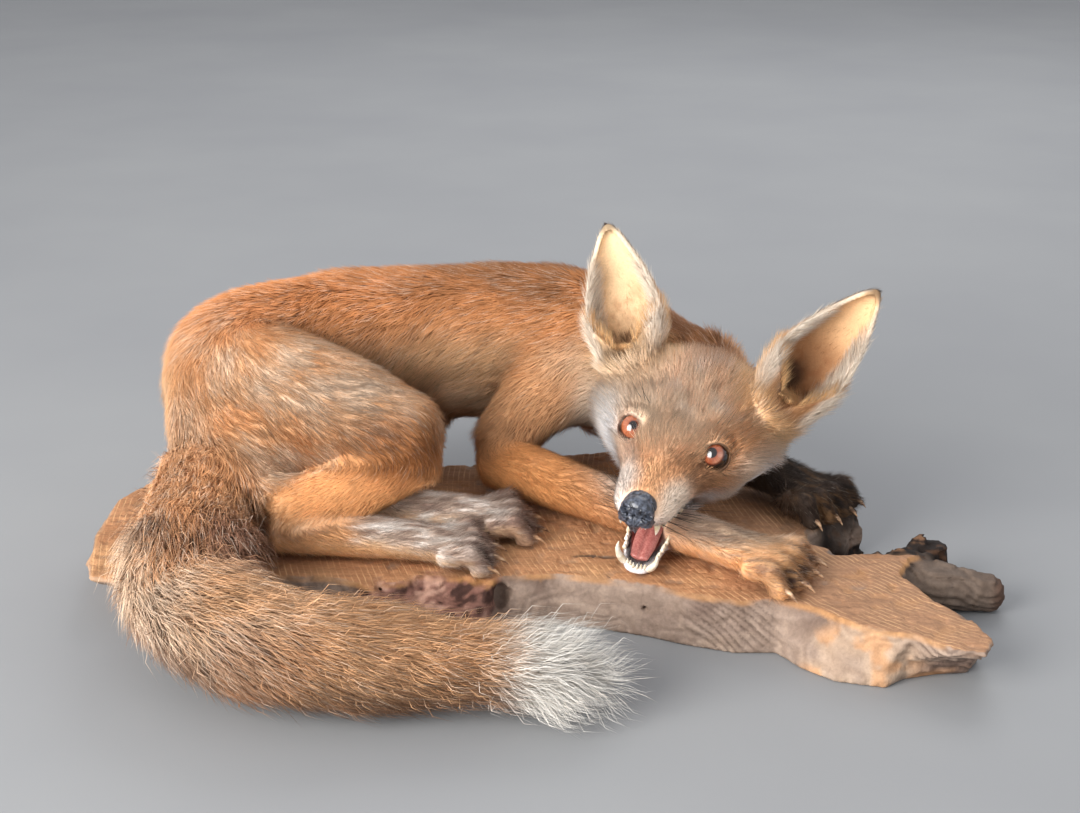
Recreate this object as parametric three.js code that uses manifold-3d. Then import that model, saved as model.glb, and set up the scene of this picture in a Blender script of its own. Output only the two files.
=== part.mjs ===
// Taxidermy red fox lying curled on a live-edge wooden slab, life size, in millimetres, +Z up.
// +X runs towards the fox's head, -Y is the side that it looks at. The origin is on the slab's
// flat underside, under its middle. Every body piece gives the outline to the tips of the coat.
import * as THREE from "three";
import { mergeVertices } from "three/addons/utils/BufferGeometryUtils.js";
import Module from "manifold-3d";

const wasm = await Module();
wasm.setup();

// Fits between pieces.
const GAP = 0.3; // left between two pieces that touch
const FLOOR = 0.3; // lowest level of the coat that lies beside the slab

// Slab.
const SLAB_TOP = 32; // sawn upper face
const SLAB_FLARE = 5; // how far the weathered side leans out towards the floor
const SLAB_ROUND = 2.5; // worn upper edge

// Head: its own frame has x to the fox's left, y back from the nose tip and z up.
const NOSE_TIP = [57, -107, 76.5];
const HEAD_YAW = -22.5; // degrees, face turned towards -X
const HEAD_PITCH = 10.5; // degrees, nose down
const HEAD_ROLL = 12; // degrees, left ear down
const EYE_OUT = 25.5; // eye centre from the head's middle plane
const EYE_BACK = 64;
const EYE_UP = 14;
const EYE_RADIUS = 9;
const EAR_OUT = 50; // middle of the ear's base
const EAR_BACK = 114;
const EAR_UP = 34;
const EAR_HALF_WIDTH = 27.5; // widest half width of the ear
const EAR_WALL = 3.2;
const JAW_TURN = 5; // sideways set of the open jaw's tip

// Limbs.
const TOE_RADIUS = 6;
const CLAW_LENGTH = 9;

// Finishes: sRGB colour, roughness.
const FINISH = {
  coat_rust: [0xb5713a, 0.9],
  coat_cream: [0xe6d6c2, 0.9],
  coat_grey: [0x8d7d72, 0.9],
  coat_dark: [0x3a2c25, 0.9],
  glass_eye: [0xb4552a, 0.1],
  nose_leather: [0x2b2f38, 0.5],
  mouth_pink: [0xc9564d, 0.45],
  weathered_wood: [0xa98460, 0.8],
};

const fox = new THREE.Group();

// ---------------------------------------------------------------- shared geometry

function solidOf(geometry) {
  const bare = geometry.index ? geometry.toNonIndexed() : geometry.clone();
  for (const name of Object.keys(bare.attributes)) {
    if (name !== "position") bare.deleteAttribute(name);
  }
  const merged = mergeVertices(bare, 1e-4);
  const mesh = new wasm.Mesh({
    numProp: 3,
    vertProperties: merged.attributes.position.array,
    triVerts: new Uint32Array(merged.index.array),
  });
  return new wasm.Manifold(mesh);
}

function largestBody(solid) {
  const bodies = solid.decompose();
  return bodies.reduce((a, b) => (a.volume() > b.volume() ? a : b));
}

function addPiece(name, solid, finish) {
  const mesh = largestBody(solid).getMesh();
  const geometry = new THREE.BufferGeometry();
  geometry.setAttribute("position", new THREE.BufferAttribute(mesh.vertProperties, 3));
  geometry.setIndex(new THREE.BufferAttribute(mesh.triVerts, 1));
  geometry.computeVertexNormals();
  const [color, roughness] = FINISH[finish];
  const material = new THREE.MeshStandardMaterial({ color, roughness, metalness: 0 });
  const piece = new THREE.Mesh(geometry, material);
  piece.name = name;
  fox.add(piece);
}

// Catmull-Rom value between b and c.
function blend(a, b, c, d, t) {
  const slope0 = (c - a) / 2;
  const slope1 = (d - b) / 2;
  const t2 = t * t;
  const t3 = t2 * t;
  return (2 * t3 - 3 * t2 + 1) * b + (t3 - 2 * t2 + t) * slope0
    + (3 * t2 - 2 * t3) * c + (t3 - t2) * slope1;
}

// Value number k of the stations' list named key, at place s along them.
function along(stations, key, k, s) {
  const last = stations.length - 1;
  const i = Math.min(Math.floor(s), last - 1);
  const pick = (j) => stations[Math.max(0, Math.min(last, j))][key][k];
  return blend(pick(i - 1), pick(i), pick(i + 1), pick(i + 2), s - i);
}

// One station of a limb: its middle, and its half width, half height up and half height down.
function station(x, y, z, side, up, down = up) {
  return { at: [x, y, z], half: [side, up, down] };
}

// A closed body through a row of stations. grow swells it all round, upHint fixes which way is up
// in its cross-sections, and frame places it in the object. Each end is domed by a ring at each of
// the domeAngles, in degrees from the last full section.
function loft(stations, {
  sides = 12, rings = 6, upHint = [0, 0, 1], dome = 0.6, domeAngles = [76, 42], grow = 0, frame,
} = {}) {
  const up = new THREE.Vector3(...upHint);
  const last = stations.length - 1;
  const place = (s) => new THREE.Vector3(...[0, 1, 2].map((k) => along(stations, "at", k, s)));
  const heading = (s) => place(Math.min(last, s + 0.02)).sub(place(Math.max(0, s - 0.02))).normalize();
  const section = (s, shift, scale) => {
    const ahead = heading(s);
    const side = new THREE.Vector3().crossVectors(ahead, up).normalize();
    const rise = new THREE.Vector3().crossVectors(side, ahead);
    const half = [0, 1, 2].map((k) => (along(stations, "half", k, s) + grow) * scale);
    return { centre: place(s).addScaledVector(ahead, shift), side, rise, half };
  };
  const cap = (s) => (Math.min(along(stations, "half", 0, s), along(stations, "half", 1, s)) + grow) * dome;
  const turns = domeAngles.map(THREE.MathUtils.degToRad);
  const sections = turns.map((a) => section(0, -cap(0) * Math.sin(a), Math.cos(a)));
  for (let i = 0; i <= rings; i++) {
    sections.push(section((last * i) / rings, 0, 1));
  }
  for (const a of turns.toReversed()) {
    sections.push(section(last, cap(last) * Math.sin(a), Math.cos(a)));
  }
  return skinOver(sections, sides, frame);
}

// The closed solid over a row of cross-sections.
function skinOver(sections, sides, frame) {
  const points = [];
  for (const { centre, side, rise, half } of sections) {
    for (let j = 0; j < sides; j++) {
      const turn = (2 * Math.PI * (j + 0.5)) / sides;
      const x = Math.cos(turn) * half[0];
      const y = Math.sin(turn) * (Math.sin(turn) > 0 ? half[1] : half[2]);
      points.push(centre.clone().addScaledVector(side, x).addScaledVector(rise, y));
    }
  }
  const faces = [];
  const top = (sections.length - 1) * sides;
  const first = points.push(sections[0].centre.clone()) - 1;
  const end = points.push(sections.at(-1).centre.clone()) - 1;
  for (let j = 0; j < sides; j++) {
    const next = (j + 1) % sides;
    faces.push(first, j, next);
    faces.push(end, top + next, top + j);
    for (let i = 0; i < top; i += sides) {
      faces.push(i + j, i + j + sides, i + next);
      faces.push(i + next, i + j + sides, i + next + sides);
    }
  }
  const geometry = new THREE.BufferGeometry().setFromPoints(points);
  geometry.setIndex(faces);
  if (frame) geometry.applyMatrix4(frame);
  return solidOf(geometry);
}

function ball(x, y, z, radius, frame, columns = 9, rows = 6) {
  const geometry = new THREE.SphereGeometry(radius, columns, rows).translate(x, y, z);
  return solidOf(frame ? geometry.applyMatrix4(frame) : geometry);
}

function joined(solids) {
  return solids.reduce((whole, solid) => whole.add(solid));
}

function cutBy(solid, cutters) {
  return cutters.reduce((rest, cutter) => rest.subtract(cutter), solid);
}

// Rooms of the pieces placed so far, each a gap larger than its piece. Every new piece gives way
// to them. shape(grow) makes the piece swollen all round by grow.
const taken = [];

function place(name, finish, shape) {
  addPiece(name, restingOnSlab(cutBy(shape(0), taken)), finish);
  taken.push(shape(GAP));
}

function restingOnSlab(solid) {
  return solid.trimByPlane([0, 0, 1], SLAB_TOP + GAP);
}

// The part of a solid beyond the plane through point that faces along normal, less half a gap.
function beyond(solid, point, normal) {
  const n = new THREE.Vector3(...normal).normalize();
  return solid.trimByPlane(n.toArray(), n.dot(new THREE.Vector3(...point)) + GAP / 2);
}

function behind(solid, [point, normal]) {
  return beyond(solid, point, normal.map((v) => -v));
}

// ---------------------------------------------------------------- wooden slab

// Outline of the sawn face, anticlockwise from the left front corner.
const SLAB_OUTLINE = [
  [-273, -100], [-235, -106], [-180, -101], [-135, -99], [-104, -112], [-76, -134], [-48, -134],
  [-30, -103], [12, -96], [46, -105], [82, -119], [110, -133], [140, -130], [166, -146],
  [188, -170], [206, -172], [228, -192], [250, -196], [256, -168], [236, -136], [220, -93],
  [234, -68], [267, -42], [246, -35], [222, -56], [178, -56], [167, -42], [186, -16], [212, 2],
  [198, 24], [152, 62], [100, 100], [50, 110], [0, 98], [-45, 80], [-130, 90], [-225, 58],
  [-276, 45], [-284, 0], [-280, -70],
];
const ROOT_KNOB = [
  station(236, -68, 15, 24, 14, 15),
  station(262, -77, 13, 17, 13, 13),
  station(279, -80, 12, 12, 12, 12),
];

// Where a point of the rim comes down at the floor: a little outwards, further at the swollen
// root in front, and well back under the two undercut front corners.
function footOf(point, out) {
  const swell = point.y < -90 ? 14 * Math.exp(-(((point.x - 168) / 22) ** 2)) : 0;
  const right = THREE.MathUtils.smoothstep(point.x, 195, 240);
  const front = THREE.MathUtils.smoothstep(-point.y, 125, 185);
  const left = THREE.MathUtils.smoothstep(-point.x, 220, 262);
  const leftFront = left * THREE.MathUtils.smoothstep(-point.y, 30, 95);
  const stand = SLAB_FLARE * (1 - Math.max(right * front, leftFront));
  const foot = point.clone().addScaledVector(out, stand + swell);
  foot.x += 20 * leftFront;
  foot.y += 36 * right * front + 24 * leftFront;
  return foot;
}

function slabSections(grow) {
  const curve = new THREE.CatmullRomCurve3(
    SLAB_OUTLINE.map(([x, y]) => new THREE.Vector3(x, y, 0)), true, "centripetal",
  );
  const steps = Math.round(SLAB_OUTLINE.length * 1.25);
  const rim = [];
  for (let i = 0; i < steps; i++) {
    const point = curve.getPoint(i / steps);
    const ahead = curve.getTangent(i / steps);
    const out = new THREE.Vector3(ahead.y, -ahead.x, 0);
    rim.push({ point, out, foot: footOf(point, out) });
  }
  const level = (z, share, inset) => rim.map(({ point, out, foot }) => (
    point.clone().lerp(foot, share).addScaledVector(out, grow - inset).setZ(z)
  ));
  return [
    level(SLAB_TOP + grow, 0, SLAB_ROUND),
    level(SLAB_TOP - SLAB_ROUND, 0, 0),
    level(SLAB_TOP * 0.4, 0.8, 0),
    level(-grow, 1, 0),
  ];
}

function slab(grow = 0) {
  const levels = slabSections(grow);
  const count = levels[0].length;
  const flat = levels[0].map((p) => new THREE.Vector2(p.x, p.y));
  const base = levels.at(-1).map((p) => new THREE.Vector2(p.x, p.y));
  const bottom = (levels.length - 1) * count;
  const faces = THREE.ShapeUtils.triangulateShape(flat, []).flat();
  for (const [a, b, c] of THREE.ShapeUtils.triangulateShape(base, [])) {
    faces.push(bottom + a, bottom + c, bottom + b);
  }
  for (let i = 0; i < bottom; i += count) {
    for (let j = 0; j < count; j++) {
      const next = (j + 1) % count;
      faces.push(i + j, i + j + count, i + next);
      faces.push(i + next, i + j + count, i + next + count);
    }
  }
  const geometry = new THREE.BufferGeometry().setFromPoints(levels.flat());
  geometry.setIndex(faces);
  const knob = loft(ROOT_KNOB, { sides: 9, rings: 3, grow });
  const floor = [0, 0, 1];
  return solidOf(geometry).add(knob).trimByPlane(floor, -grow);
}

addPiece("slab", slab(), "weathered_wood");

// ---------------------------------------------------------------- head

const headFrame = new THREE.Matrix4().makeRotationFromEuler(new THREE.Euler(
  THREE.MathUtils.degToRad(HEAD_PITCH),
  THREE.MathUtils.degToRad(HEAD_ROLL),
  THREE.MathUtils.degToRad(HEAD_YAW),
  "ZXY",
)).setPosition(...NOSE_TIP);

const SKULL = [
  station(0, 4, 0, 14, 8, 11),
  station(0, 14, 0, 20, 11, 14),
  station(0, 30, 0, 24, 15, 15),
  station(0, 46, 0, 29, 22, 18),
  station(0, 60, 0, 39, 29, 23),
  station(0, 74, -1, 54, 38, 31),
  station(0, 92, -3, 67, 48, 37),
  station(0, 116, -3, 66, 54, 38),
  station(0, 142, -1, 48, 46, 34),
];
const JAW = [
  station(0, 76, -26, 26, 12, 14),
  station(0.25 * JAW_TURN, 52, -32, 19, 7, 9),
  station(0.7 * JAW_TURN, 26, -38, 16, 5, 7),
  station(JAW_TURN, 4, -41, 13.5, 4.5, 6.5),
];
const TONGUE = [
  station(0.5 * JAW_TURN, 42, -27, 9, 2.5),
  station(0.75 * JAW_TURN, 28, -31, 9, 2.5),
  station(JAW_TURN, 12, -35, 7.5, 2),
];
const NOSE_PAD = [
  station(0, 9, 3, 10.4, 8, 9.5),
  station(0, 2, 3, 10.4, 8, 9),
  station(0, -1, 3, 8, 6, 7),
];

// A cone from its root along a direction: a tooth or a claw.
function spike([x, y, z], [dx, dy, dz], radius, options) {
  const ends = [
    station(x, y, z, radius, radius),
    station(x + dx, y + dy, z + dz, radius * 0.3, radius * 0.3),
  ];
  return loft(ends, { sides: 5, rings: 1, domeAngles: [], ...options });
}

function teeth(rows, grow) {
  return joined(rows.map(([root, way, radius]) => (
    spike(root, way, radius, { upHint: [0, 1, 0], grow, frame: headFrame })
  )));
}

// Canine, two incisors and two cheek teeth on each side of the muzzle.
function upperTeeth(grow) {
  return teeth([-1, 1].flatMap((side) => [
    [[side * 10.5, 13, -8], [side * 0.6, -1, -11], 2.2],
    ...[1.7, 5].map((out) => [[side * out, 7 + out * 0.4, -6], [0, -0.8, -7.5], 1.6]),
    ...[27, 36].map((back) => [[side * (10 + back * 0.2), back, -11], [0, 0, -7], 3]),
  ]), grow);
}

function lowerTeeth(grow) {
  return teeth([-1, 1].flatMap((side) => [
    [[JAW_TURN + side * 10, 3, -38], [side * 2.4, -1, 11], 2.1],
    ...[1.8, 5.4].map((out) => [[JAW_TURN + side * out, -2 + out * 0.35, -39], [0, -0.8, 5.5], 1.6]),
    ...[14, 23].map((back) => {
      const middle = JAW_TURN * (1.15 - back * 0.015);
      return [[middle + side * (10 + back * 0.14), back, -39 + back * 0.14], [0, 0, 8], 2.6];
    }),
  ]), grow);
}

// Both ears: base, way to the tip, and the way that the cup faces, in the head's frame.
const EARS = {
  left: { out: 1, toTip: [37, 36, 74], facing: [0.25, -1, 0.3] },
  right: { out: -1, toTip: [-36, 24, 70], facing: [0.05, -1, 0.3] },
};
const EAR_PROFILE = [
  // share of the length, share of the half width
  [0, 0.86], [0.18, 1], [0.42, 0.97], [0.66, 0.72], [0.86, 0.4], [1, 0.1],
];

function earLoft({ out, toTip, facing }, inner, grow) {
  const axis = new THREE.Vector3(...toTip);
  const length = axis.length();
  axis.normalize();
  const front = new THREE.Vector3(...facing);
  front.addScaledVector(axis, -front.dot(axis)).normalize();
  const base = new THREE.Vector3(out * EAR_OUT, EAR_BACK, EAR_UP);
  const stations = EAR_PROFILE.map(([share, wide]) => {
    const middle = base.clone().addScaledVector(axis, share * length);
    const width = EAR_HALF_WIDTH * wide;
    const depth = width * (inner ? 0.9 : 0.8);
    if (inner) middle.addScaledVector(front, depth * 0.42).addScaledVector(axis, EAR_WALL);
    return station(...middle, Math.max(0.5, width - (inner ? EAR_WALL : 0)), depth);
  });
  const rings = inner ? 3 : 5;
  return loft(stations, { sides: 9, rings, upHint: front.toArray(), dome: 0.4, grow, frame: headFrame });
}

const SKULL_LOOK = { sides: 13, rings: 10, frame: headFrame };
const JAW_LOOK = { sides: 9, rings: 4, frame: headFrame };
const NOSE_LOOK = { sides: 8, rings: 2, frame: headFrame };
const TONGUE_LOOK = { sides: 6, rings: 2, frame: headFrame };
const EYES = { left: EYE_OUT, right: -EYE_OUT };

function makeHead() {
  place("nose", "nose_leather", (grow) => loft(NOSE_PAD, { ...NOSE_LOOK, grow }));
  for (const [side, out] of Object.entries(EYES)) {
    place("eye_" + side, "glass_eye", (grow) => (
      ball(out, EYE_BACK, EYE_UP, EYE_RADIUS + grow, headFrame)
    ));
  }
  place("head", "coat_rust", (grow) => (
    loft(SKULL, { ...SKULL_LOOK, grow }).add(upperTeeth(grow))
  ));
}

function makeJaw() {
  place("lower_jaw", "coat_cream", (grow) => (
    loft(JAW, { ...JAW_LOOK, grow }).add(lowerTeeth(grow))
  ));
  place("tongue", "mouth_pink", (grow) => loft(TONGUE, { ...TONGUE_LOOK, grow }));
}

function makeEars() {
  for (const [side, ear] of Object.entries(EARS)) {
    place("ear_" + side, "coat_dark", (grow) => {
      const shell = earLoft(ear, false, grow);
      return grow ? shell : shell.subtract(earLoft(ear, true, 0));
    });
  }
}

makeHead();
makeJaw();
makeEars();

// ---------------------------------------------------------------- trunk and neck

const TRUNK = [
  station(-216, 16, 107, 42, 46, 52),
  station(-196, 36, 113, 58, 62, 62),
  station(-132, 80, 119, 55, 60, 54),
  station(-50, 99, 118, 52, 60, 60),
  station(14, 92, 118, 55, 62, 66),
  station(58, 70, 113, 50, 56, 56),
  station(86, 46, 111, 48, 46, 50),
  station(106, 22, 116, 44, 40, 42),
];
const TRUNK_LOOK = { sides: 12, rings: 14 };
const RUMP_CUT = [[-150, 0, 0], [1, 0.55, 0]];
const LOIN_CUT = [[-62, 0, 0], [1, 0.05, 0]];
const NECK_CUT = [[48, 80, 0], [0.85, -0.53, 0]];


function makeTrunk() {
  const whole = restingOnSlab(cutBy(loft(TRUNK, TRUNK_LOOK), taken));
  const afterRump = beyond(whole, ...RUMP_CUT);
  const afterLoin = beyond(afterRump, ...LOIN_CUT);
  addPiece("hindquarters", behind(whole, RUMP_CUT), "coat_rust");
  addPiece("loin", behind(afterRump, LOIN_CUT), "coat_rust");
  addPiece("chest", behind(afterLoin, NECK_CUT), "coat_rust");
  addPiece("neck", beyond(afterLoin, ...NECK_CUT), "coat_rust");
  taken.push(loft(TRUNK, { ...TRUNK_LOOK, grow: GAP }));
}

makeTrunk();

// ---------------------------------------------------------------- legs

const FOOT_LOOK = { sides: 8, rings: 3, domeAngles: [50] };
const TOE_LOOK = { sides: 6, rings: 1, dome: 0.8, domeAngles: [50] };

// A foot: a loft to the ball of the foot, then four toes in a fan, each with its claw.
function foot(stations, { heading, toeLength, spread }, grow) {
  const [x, y, z] = stations.at(-1).at;
  const across = THREE.MathUtils.degToRad(heading + 90);
  const low = SLAB_TOP + TOE_RADIUS * 0.8;
  const parts = [loft(stations, { ...FOOT_LOOK, grow })];
  for (const place of [-1.5, -0.5, 0.5, 1.5]) {
    const out = place * spread;
    const turn = THREE.MathUtils.degToRad(heading + out * 0.9);
    const ahead = (root, by) => [root[0] + Math.cos(turn) * by, root[1] + Math.sin(turn) * by];
    const root = [x + Math.cos(across) * out, y + Math.sin(across) * out];
    const tip = ahead(root, toeLength * (Math.abs(place) < 1 ? 1 : 0.8));
    parts.push(loft([
      station(...root, z, TOE_RADIUS, TOE_RADIUS),
      station(...tip, low, TOE_RADIUS, TOE_RADIUS * 0.9),
    ], { ...TOE_LOOK, grow }));
    const claw = [Math.cos(turn) * CLAW_LENGTH, Math.sin(turn) * CLAW_LENGTH, -4];
    parts.push(spike([...ahead(tip, TOE_RADIUS * 0.5), low + 1], claw, 2.2, { grow }));
  }
  return joined(parts);
}

const LIMB_LOOK = { sides: 10, rings: 4 };

const THIGH = {
  right: [
    station(-206, 14, 108, 46, 56, 52),
    station(-168, -6, 106, 48, 60, 56),
    station(-116, -26, 102, 36, 48, 46),
    station(-76, -38, 98, 26, 32, 34),
  ],
  left: [
    station(-186, 78, 100, 48, 54, 54),
    station(-148, 106, 92, 44, 54, 54),
    station(-108, 104, 78, 36, 42, 42),
    station(-80, 84, 66, 26, 28, 30),
  ],
};
const SHIN = {
  right: [
    station(-76, -42, 92, 22, 30, 28),
    station(-116, -56, 73, 21, 25, 25),
    station(-154, -68, 57, 18, 23, 22),
  ],
  left: [
    station(-82, 64, 62, 22, 24, 26),
    station(-98, 18, 54, 20, 20, 20),
    station(-112, -24, 50, 17, 17, 17),
  ],
};
const HIND_FOOT = {
  right: [
    station(-158, -70, 52, 18, 19, 19),
    station(-120, -74, 48, 16, 16, 16),
    station(-80, -76, 46, 17, 13, 14),
    station(-50, -78, 43, 20, 10, 11),
  ],
  left: [
    station(-112, -32, 50, 17, 17, 17),
    station(-80, -36, 48, 16, 16, 16),
    station(-50, -36, 46, 17, 13, 14),
    station(-25, -34, 43, 19, 10, 11),
  ],
};
const UPPER_ARM = {
  right: [
    station(26, 62, 112, 24, 40, 38),
    station(-6, 44, 90, 22, 30, 32),
    station(-28, 30, 68, 21, 24, 28),
  ],
  left: [
    station(44, 122, 112, 24, 42, 40),
    station(34, 124, 84, 24, 32, 32),
    station(44, 110, 60, 21, 24, 26),
  ],
};
const FOREARM = {
  right: [
    station(-30, 24, 60, 20, 22, 25),
    station(28, -18, 54, 19, 19, 21),
    station(80, -60, 49, 16, 15, 16),
  ],
  left: [
    station(52, 104, 58, 20, 22, 24),
    station(100, 70, 54, 18, 19, 20),
    station(142, 36, 50, 15, 16, 17),
  ],
};
const FOREPAW = {
  right: [
    station(84, -66, 49, 16, 15, 16),
    station(112, -86, 47, 17, 14, 14),
    station(140, -103, 44, 20, 11, 11),
  ],
  left: [
    station(144, 36, 49, 15, 15, 16),
    station(164, 16, 47, 17, 14, 14),
    station(180, -2, 44, 19, 11, 11),
  ],
};
const HIND_TOES = {
  right: { heading: 3, toeLength: 18, spread: 12.4 },
  left: { heading: 8, toeLength: 18, spread: 12.4 },
};
const FORE_TOES = {
  right: { heading: -28, toeLength: 18, spread: 12.8 },
  left: { heading: -42, toeLength: 17, spread: 12.4 },
};

function makeHindLeg(side) {
  place("thigh_" + side, "coat_rust", (grow) => loft(THIGH[side], { ...LIMB_LOOK, grow }));
  place("shin_" + side, "coat_rust", (grow) => loft(SHIN[side], { ...LIMB_LOOK, grow }));
  place("hind_foot_" + side, "coat_grey", (grow) => foot(HIND_FOOT[side], HIND_TOES[side], grow));
}

function makeForeleg(side) {
  place("upper_arm_" + side, "coat_rust", (grow) => loft(UPPER_ARM[side], { ...LIMB_LOOK, grow }));
  place("forearm_" + side, "coat_rust", (grow) => loft(FOREARM[side], { ...LIMB_LOOK, grow }));
  place("forepaw_" + side, "coat_grey", (grow) => foot(FOREPAW[side], FORE_TOES[side], grow));
}

for (const side of ["right", "left"]) {
  makeHindLeg(side);
  makeForeleg(side);
}

// ---------------------------------------------------------------- tail

const TAIL = [
  station(-210, -14, 76, 36, 34, 36),
  station(-211, -60, 70, 40, 33, 37),
  station(-211, -106, 63, 45, 33, 34),
  station(-203, -150, 54, 49, 37, 50),
  station(-176, -185, 47, 47, 40, 47),
  station(-137, -203, 42, 41, 38, 41),
  station(-97, -207, 38, 37, 35, 38),
  station(-60, -207, 34, 33, 32, 34),
  station(-23, -207, 31, 30, 29, 31),
  station(10, -208, 27, 26, 25, 27),
  station(38, -208, 20, 17, 16, 18),
];
const TAIL_CUTS = [
  [[-200, -92, 0], [0, -1, 0]],
  [[-150, -170, 0], [1, -0.9, 0]],
  [[-60, 0, 0], [1, 0, 0]],
];

function makeTail() {
  const whole = loft(TAIL, { sides: 11, rings: 15 });
  const tail = cutBy(whole, [slab(GAP), ...taken]).trimByPlane([0, 0, 1], FLOOR);
  const [first, second, third] = TAIL_CUTS;
  const afterFirst = beyond(tail, ...first);
  const afterSecond = beyond(afterFirst, ...second);
  addPiece("tail_1", behind(tail, first), "coat_rust");
  addPiece("tail_2", behind(afterFirst, second), "coat_rust");
  addPiece("tail_3", behind(afterSecond, third), "coat_rust");
  addPiece("tail_4", beyond(afterSecond, ...third), "coat_cream");
}

makeTail();

export default fox;
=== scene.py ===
import bpy
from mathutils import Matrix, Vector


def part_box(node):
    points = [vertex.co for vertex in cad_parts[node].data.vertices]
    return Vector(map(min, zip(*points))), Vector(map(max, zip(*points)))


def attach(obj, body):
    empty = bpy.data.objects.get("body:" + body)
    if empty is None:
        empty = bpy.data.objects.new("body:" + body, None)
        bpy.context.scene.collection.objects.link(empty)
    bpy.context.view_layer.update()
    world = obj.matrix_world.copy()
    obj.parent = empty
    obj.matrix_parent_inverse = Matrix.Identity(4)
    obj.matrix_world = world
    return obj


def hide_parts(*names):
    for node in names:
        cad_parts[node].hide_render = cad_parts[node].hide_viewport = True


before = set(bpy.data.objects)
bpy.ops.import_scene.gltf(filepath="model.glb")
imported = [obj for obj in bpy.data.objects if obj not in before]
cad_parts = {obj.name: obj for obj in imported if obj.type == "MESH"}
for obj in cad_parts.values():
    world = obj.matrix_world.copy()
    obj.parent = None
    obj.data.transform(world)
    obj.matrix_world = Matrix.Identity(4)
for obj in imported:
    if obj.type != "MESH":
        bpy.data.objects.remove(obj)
bpy.context.view_layer.update()

import math

import numpy as np
import openvdb
from mathutils import Matrix, Vector

# ---------------------------------------------------------------- studio
# A pale seamless floor, a large soft light from the upper left as from a window with a second one
# below it, weak ones from the right and from behind, and a camera that looks down at 20 degrees.

CAMERA_AT = (0.0, -1.057, 0.490)
CAMERA_LEAN = 70.0
CAMERA_LENS = 58.33


def tint(red, green, blue):
    """A colour given as on a paint card, 0 to 255, in the linear values that shaders take."""
    card = np.array([red, green, blue], float) / 255
    return np.where(card <= 0.04045, card / 12.92, ((card + 0.055) / 1.055) ** 2.4)


class Recipe:
    """A material's nodes, wired from left to right."""

    def __init__(self, name, roughness=0.6, specular=0.4):
        self.material = bpy.data.materials.new(name)
        self.material.use_nodes = True
        self.nodes = self.material.node_tree.nodes
        self.links = self.material.node_tree.links
        self.shader = self.nodes["Principled BSDF"]
        self.shader.inputs["Roughness"].default_value = roughness
        self.shader.inputs["Specular IOR Level"].default_value = specular

    def feed(self, value, socket):
        """Links an output to a socket, or sets a plain value on it."""
        if isinstance(value, bpy.types.NodeSocket):
            self.links.new(value, socket)
        elif hasattr(value, "__len__") and len(value) == 3 and len(socket.default_value) == 4:
            socket.default_value = (*map(float, value), 1.0)
        else:
            socket.default_value = value

    def place(self, scale=(1, 1, 1), turn=(0, 0, 0), move=(0, 0, 0)):
        """Object coordinates, stretched, turned and moved."""
        mapping = self.nodes.new("ShaderNodeMapping")
        self.feed(self.nodes.new("ShaderNodeTexCoord").outputs["Object"], mapping.inputs["Vector"])
        mapping.inputs["Scale"].default_value = scale
        mapping.inputs["Rotation"].default_value = turn
        mapping.inputs["Location"].default_value = move
        return mapping.outputs["Vector"]

    def noise(self, where, scale, detail=3.0, rough=0.55, warp=0.0):
        node = self.nodes.new("ShaderNodeTexNoise")
        self.feed(where, node.inputs["Vector"])
        node.inputs["Scale"].default_value = scale
        node.inputs["Detail"].default_value = detail
        node.inputs["Roughness"].default_value = rough
        node.inputs["Distortion"].default_value = warp
        return node.outputs["Fac"]

    def rings(self, where, scale, warp=0.0, detail=2.0):
        """Rings round the upright axis."""
        node = self.nodes.new("ShaderNodeTexWave")
        node.wave_type = "RINGS"
        node.rings_direction = "Z"
        self.feed(where, node.inputs["Vector"])
        node.inputs["Scale"].default_value = scale
        node.inputs["Distortion"].default_value = warp
        node.inputs["Detail"].default_value = detail
        return node.outputs["Fac"]

    def reads(self, attribute, output="Color"):
        node = self.nodes.new("ShaderNodeAttribute")
        node.attribute_name = attribute
        return node.outputs[output]

    def shade(self, value, *steps):
        """A colour ramp through (place, colour) steps."""
        node = self.nodes.new("ShaderNodeValToRGB")
        self.feed(value, node.inputs["Fac"])
        stops = node.color_ramp.elements
        while len(stops) < len(steps):
            stops.new(0.5)
        for stop, (spot, colour) in zip(stops, steps):
            stop.position = spot
            stop.color = (*colour, 1.0) if hasattr(colour, "__len__") else (colour, colour, colour, 1.0)
        return node.outputs["Color"]

    def math(self, kind, a, b=0.5):
        node = self.nodes.new("ShaderNodeMath")
        node.operation = kind
        self.feed(a, node.inputs[0])
        self.feed(b, node.inputs[1])
        return node.outputs[0]

    def mix(self, share, a, b, how="MIX"):
        node = self.nodes.new("ShaderNodeMix")
        node.data_type = "RGBA"
        node.blend_type = how
        self.feed(share, node.inputs["Factor"])
        self.feed(a, node.inputs["A"])
        self.feed(b, node.inputs["B"])
        return node.outputs["Result"]

    def colour(self, value):
        self.feed(value, self.shader.inputs["Base Color"])

    def bump(self, height, strength=0.5, depth=0.0005):
        node = self.nodes.new("ShaderNodeBump")
        node.inputs["Strength"].default_value = strength
        node.inputs["Distance"].default_value = depth
        self.feed(height, node.inputs["Height"])
        self.links.new(node.outputs["Normal"], self.shader.inputs["Normal"])


def studio_light(name, place, aim, size, watts, colour):
    data = bpy.data.lights.new(name, "AREA")
    data.shape = "DISK"
    data.size = size
    data.energy = watts
    data.color = colour
    light = bpy.data.objects.new(name, data)
    bpy.context.scene.collection.objects.link(light)
    light.location = place
    light.rotation_euler = (Vector(aim) - Vector(place)).to_track_quat("-Z", "Y").to_euler()


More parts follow.
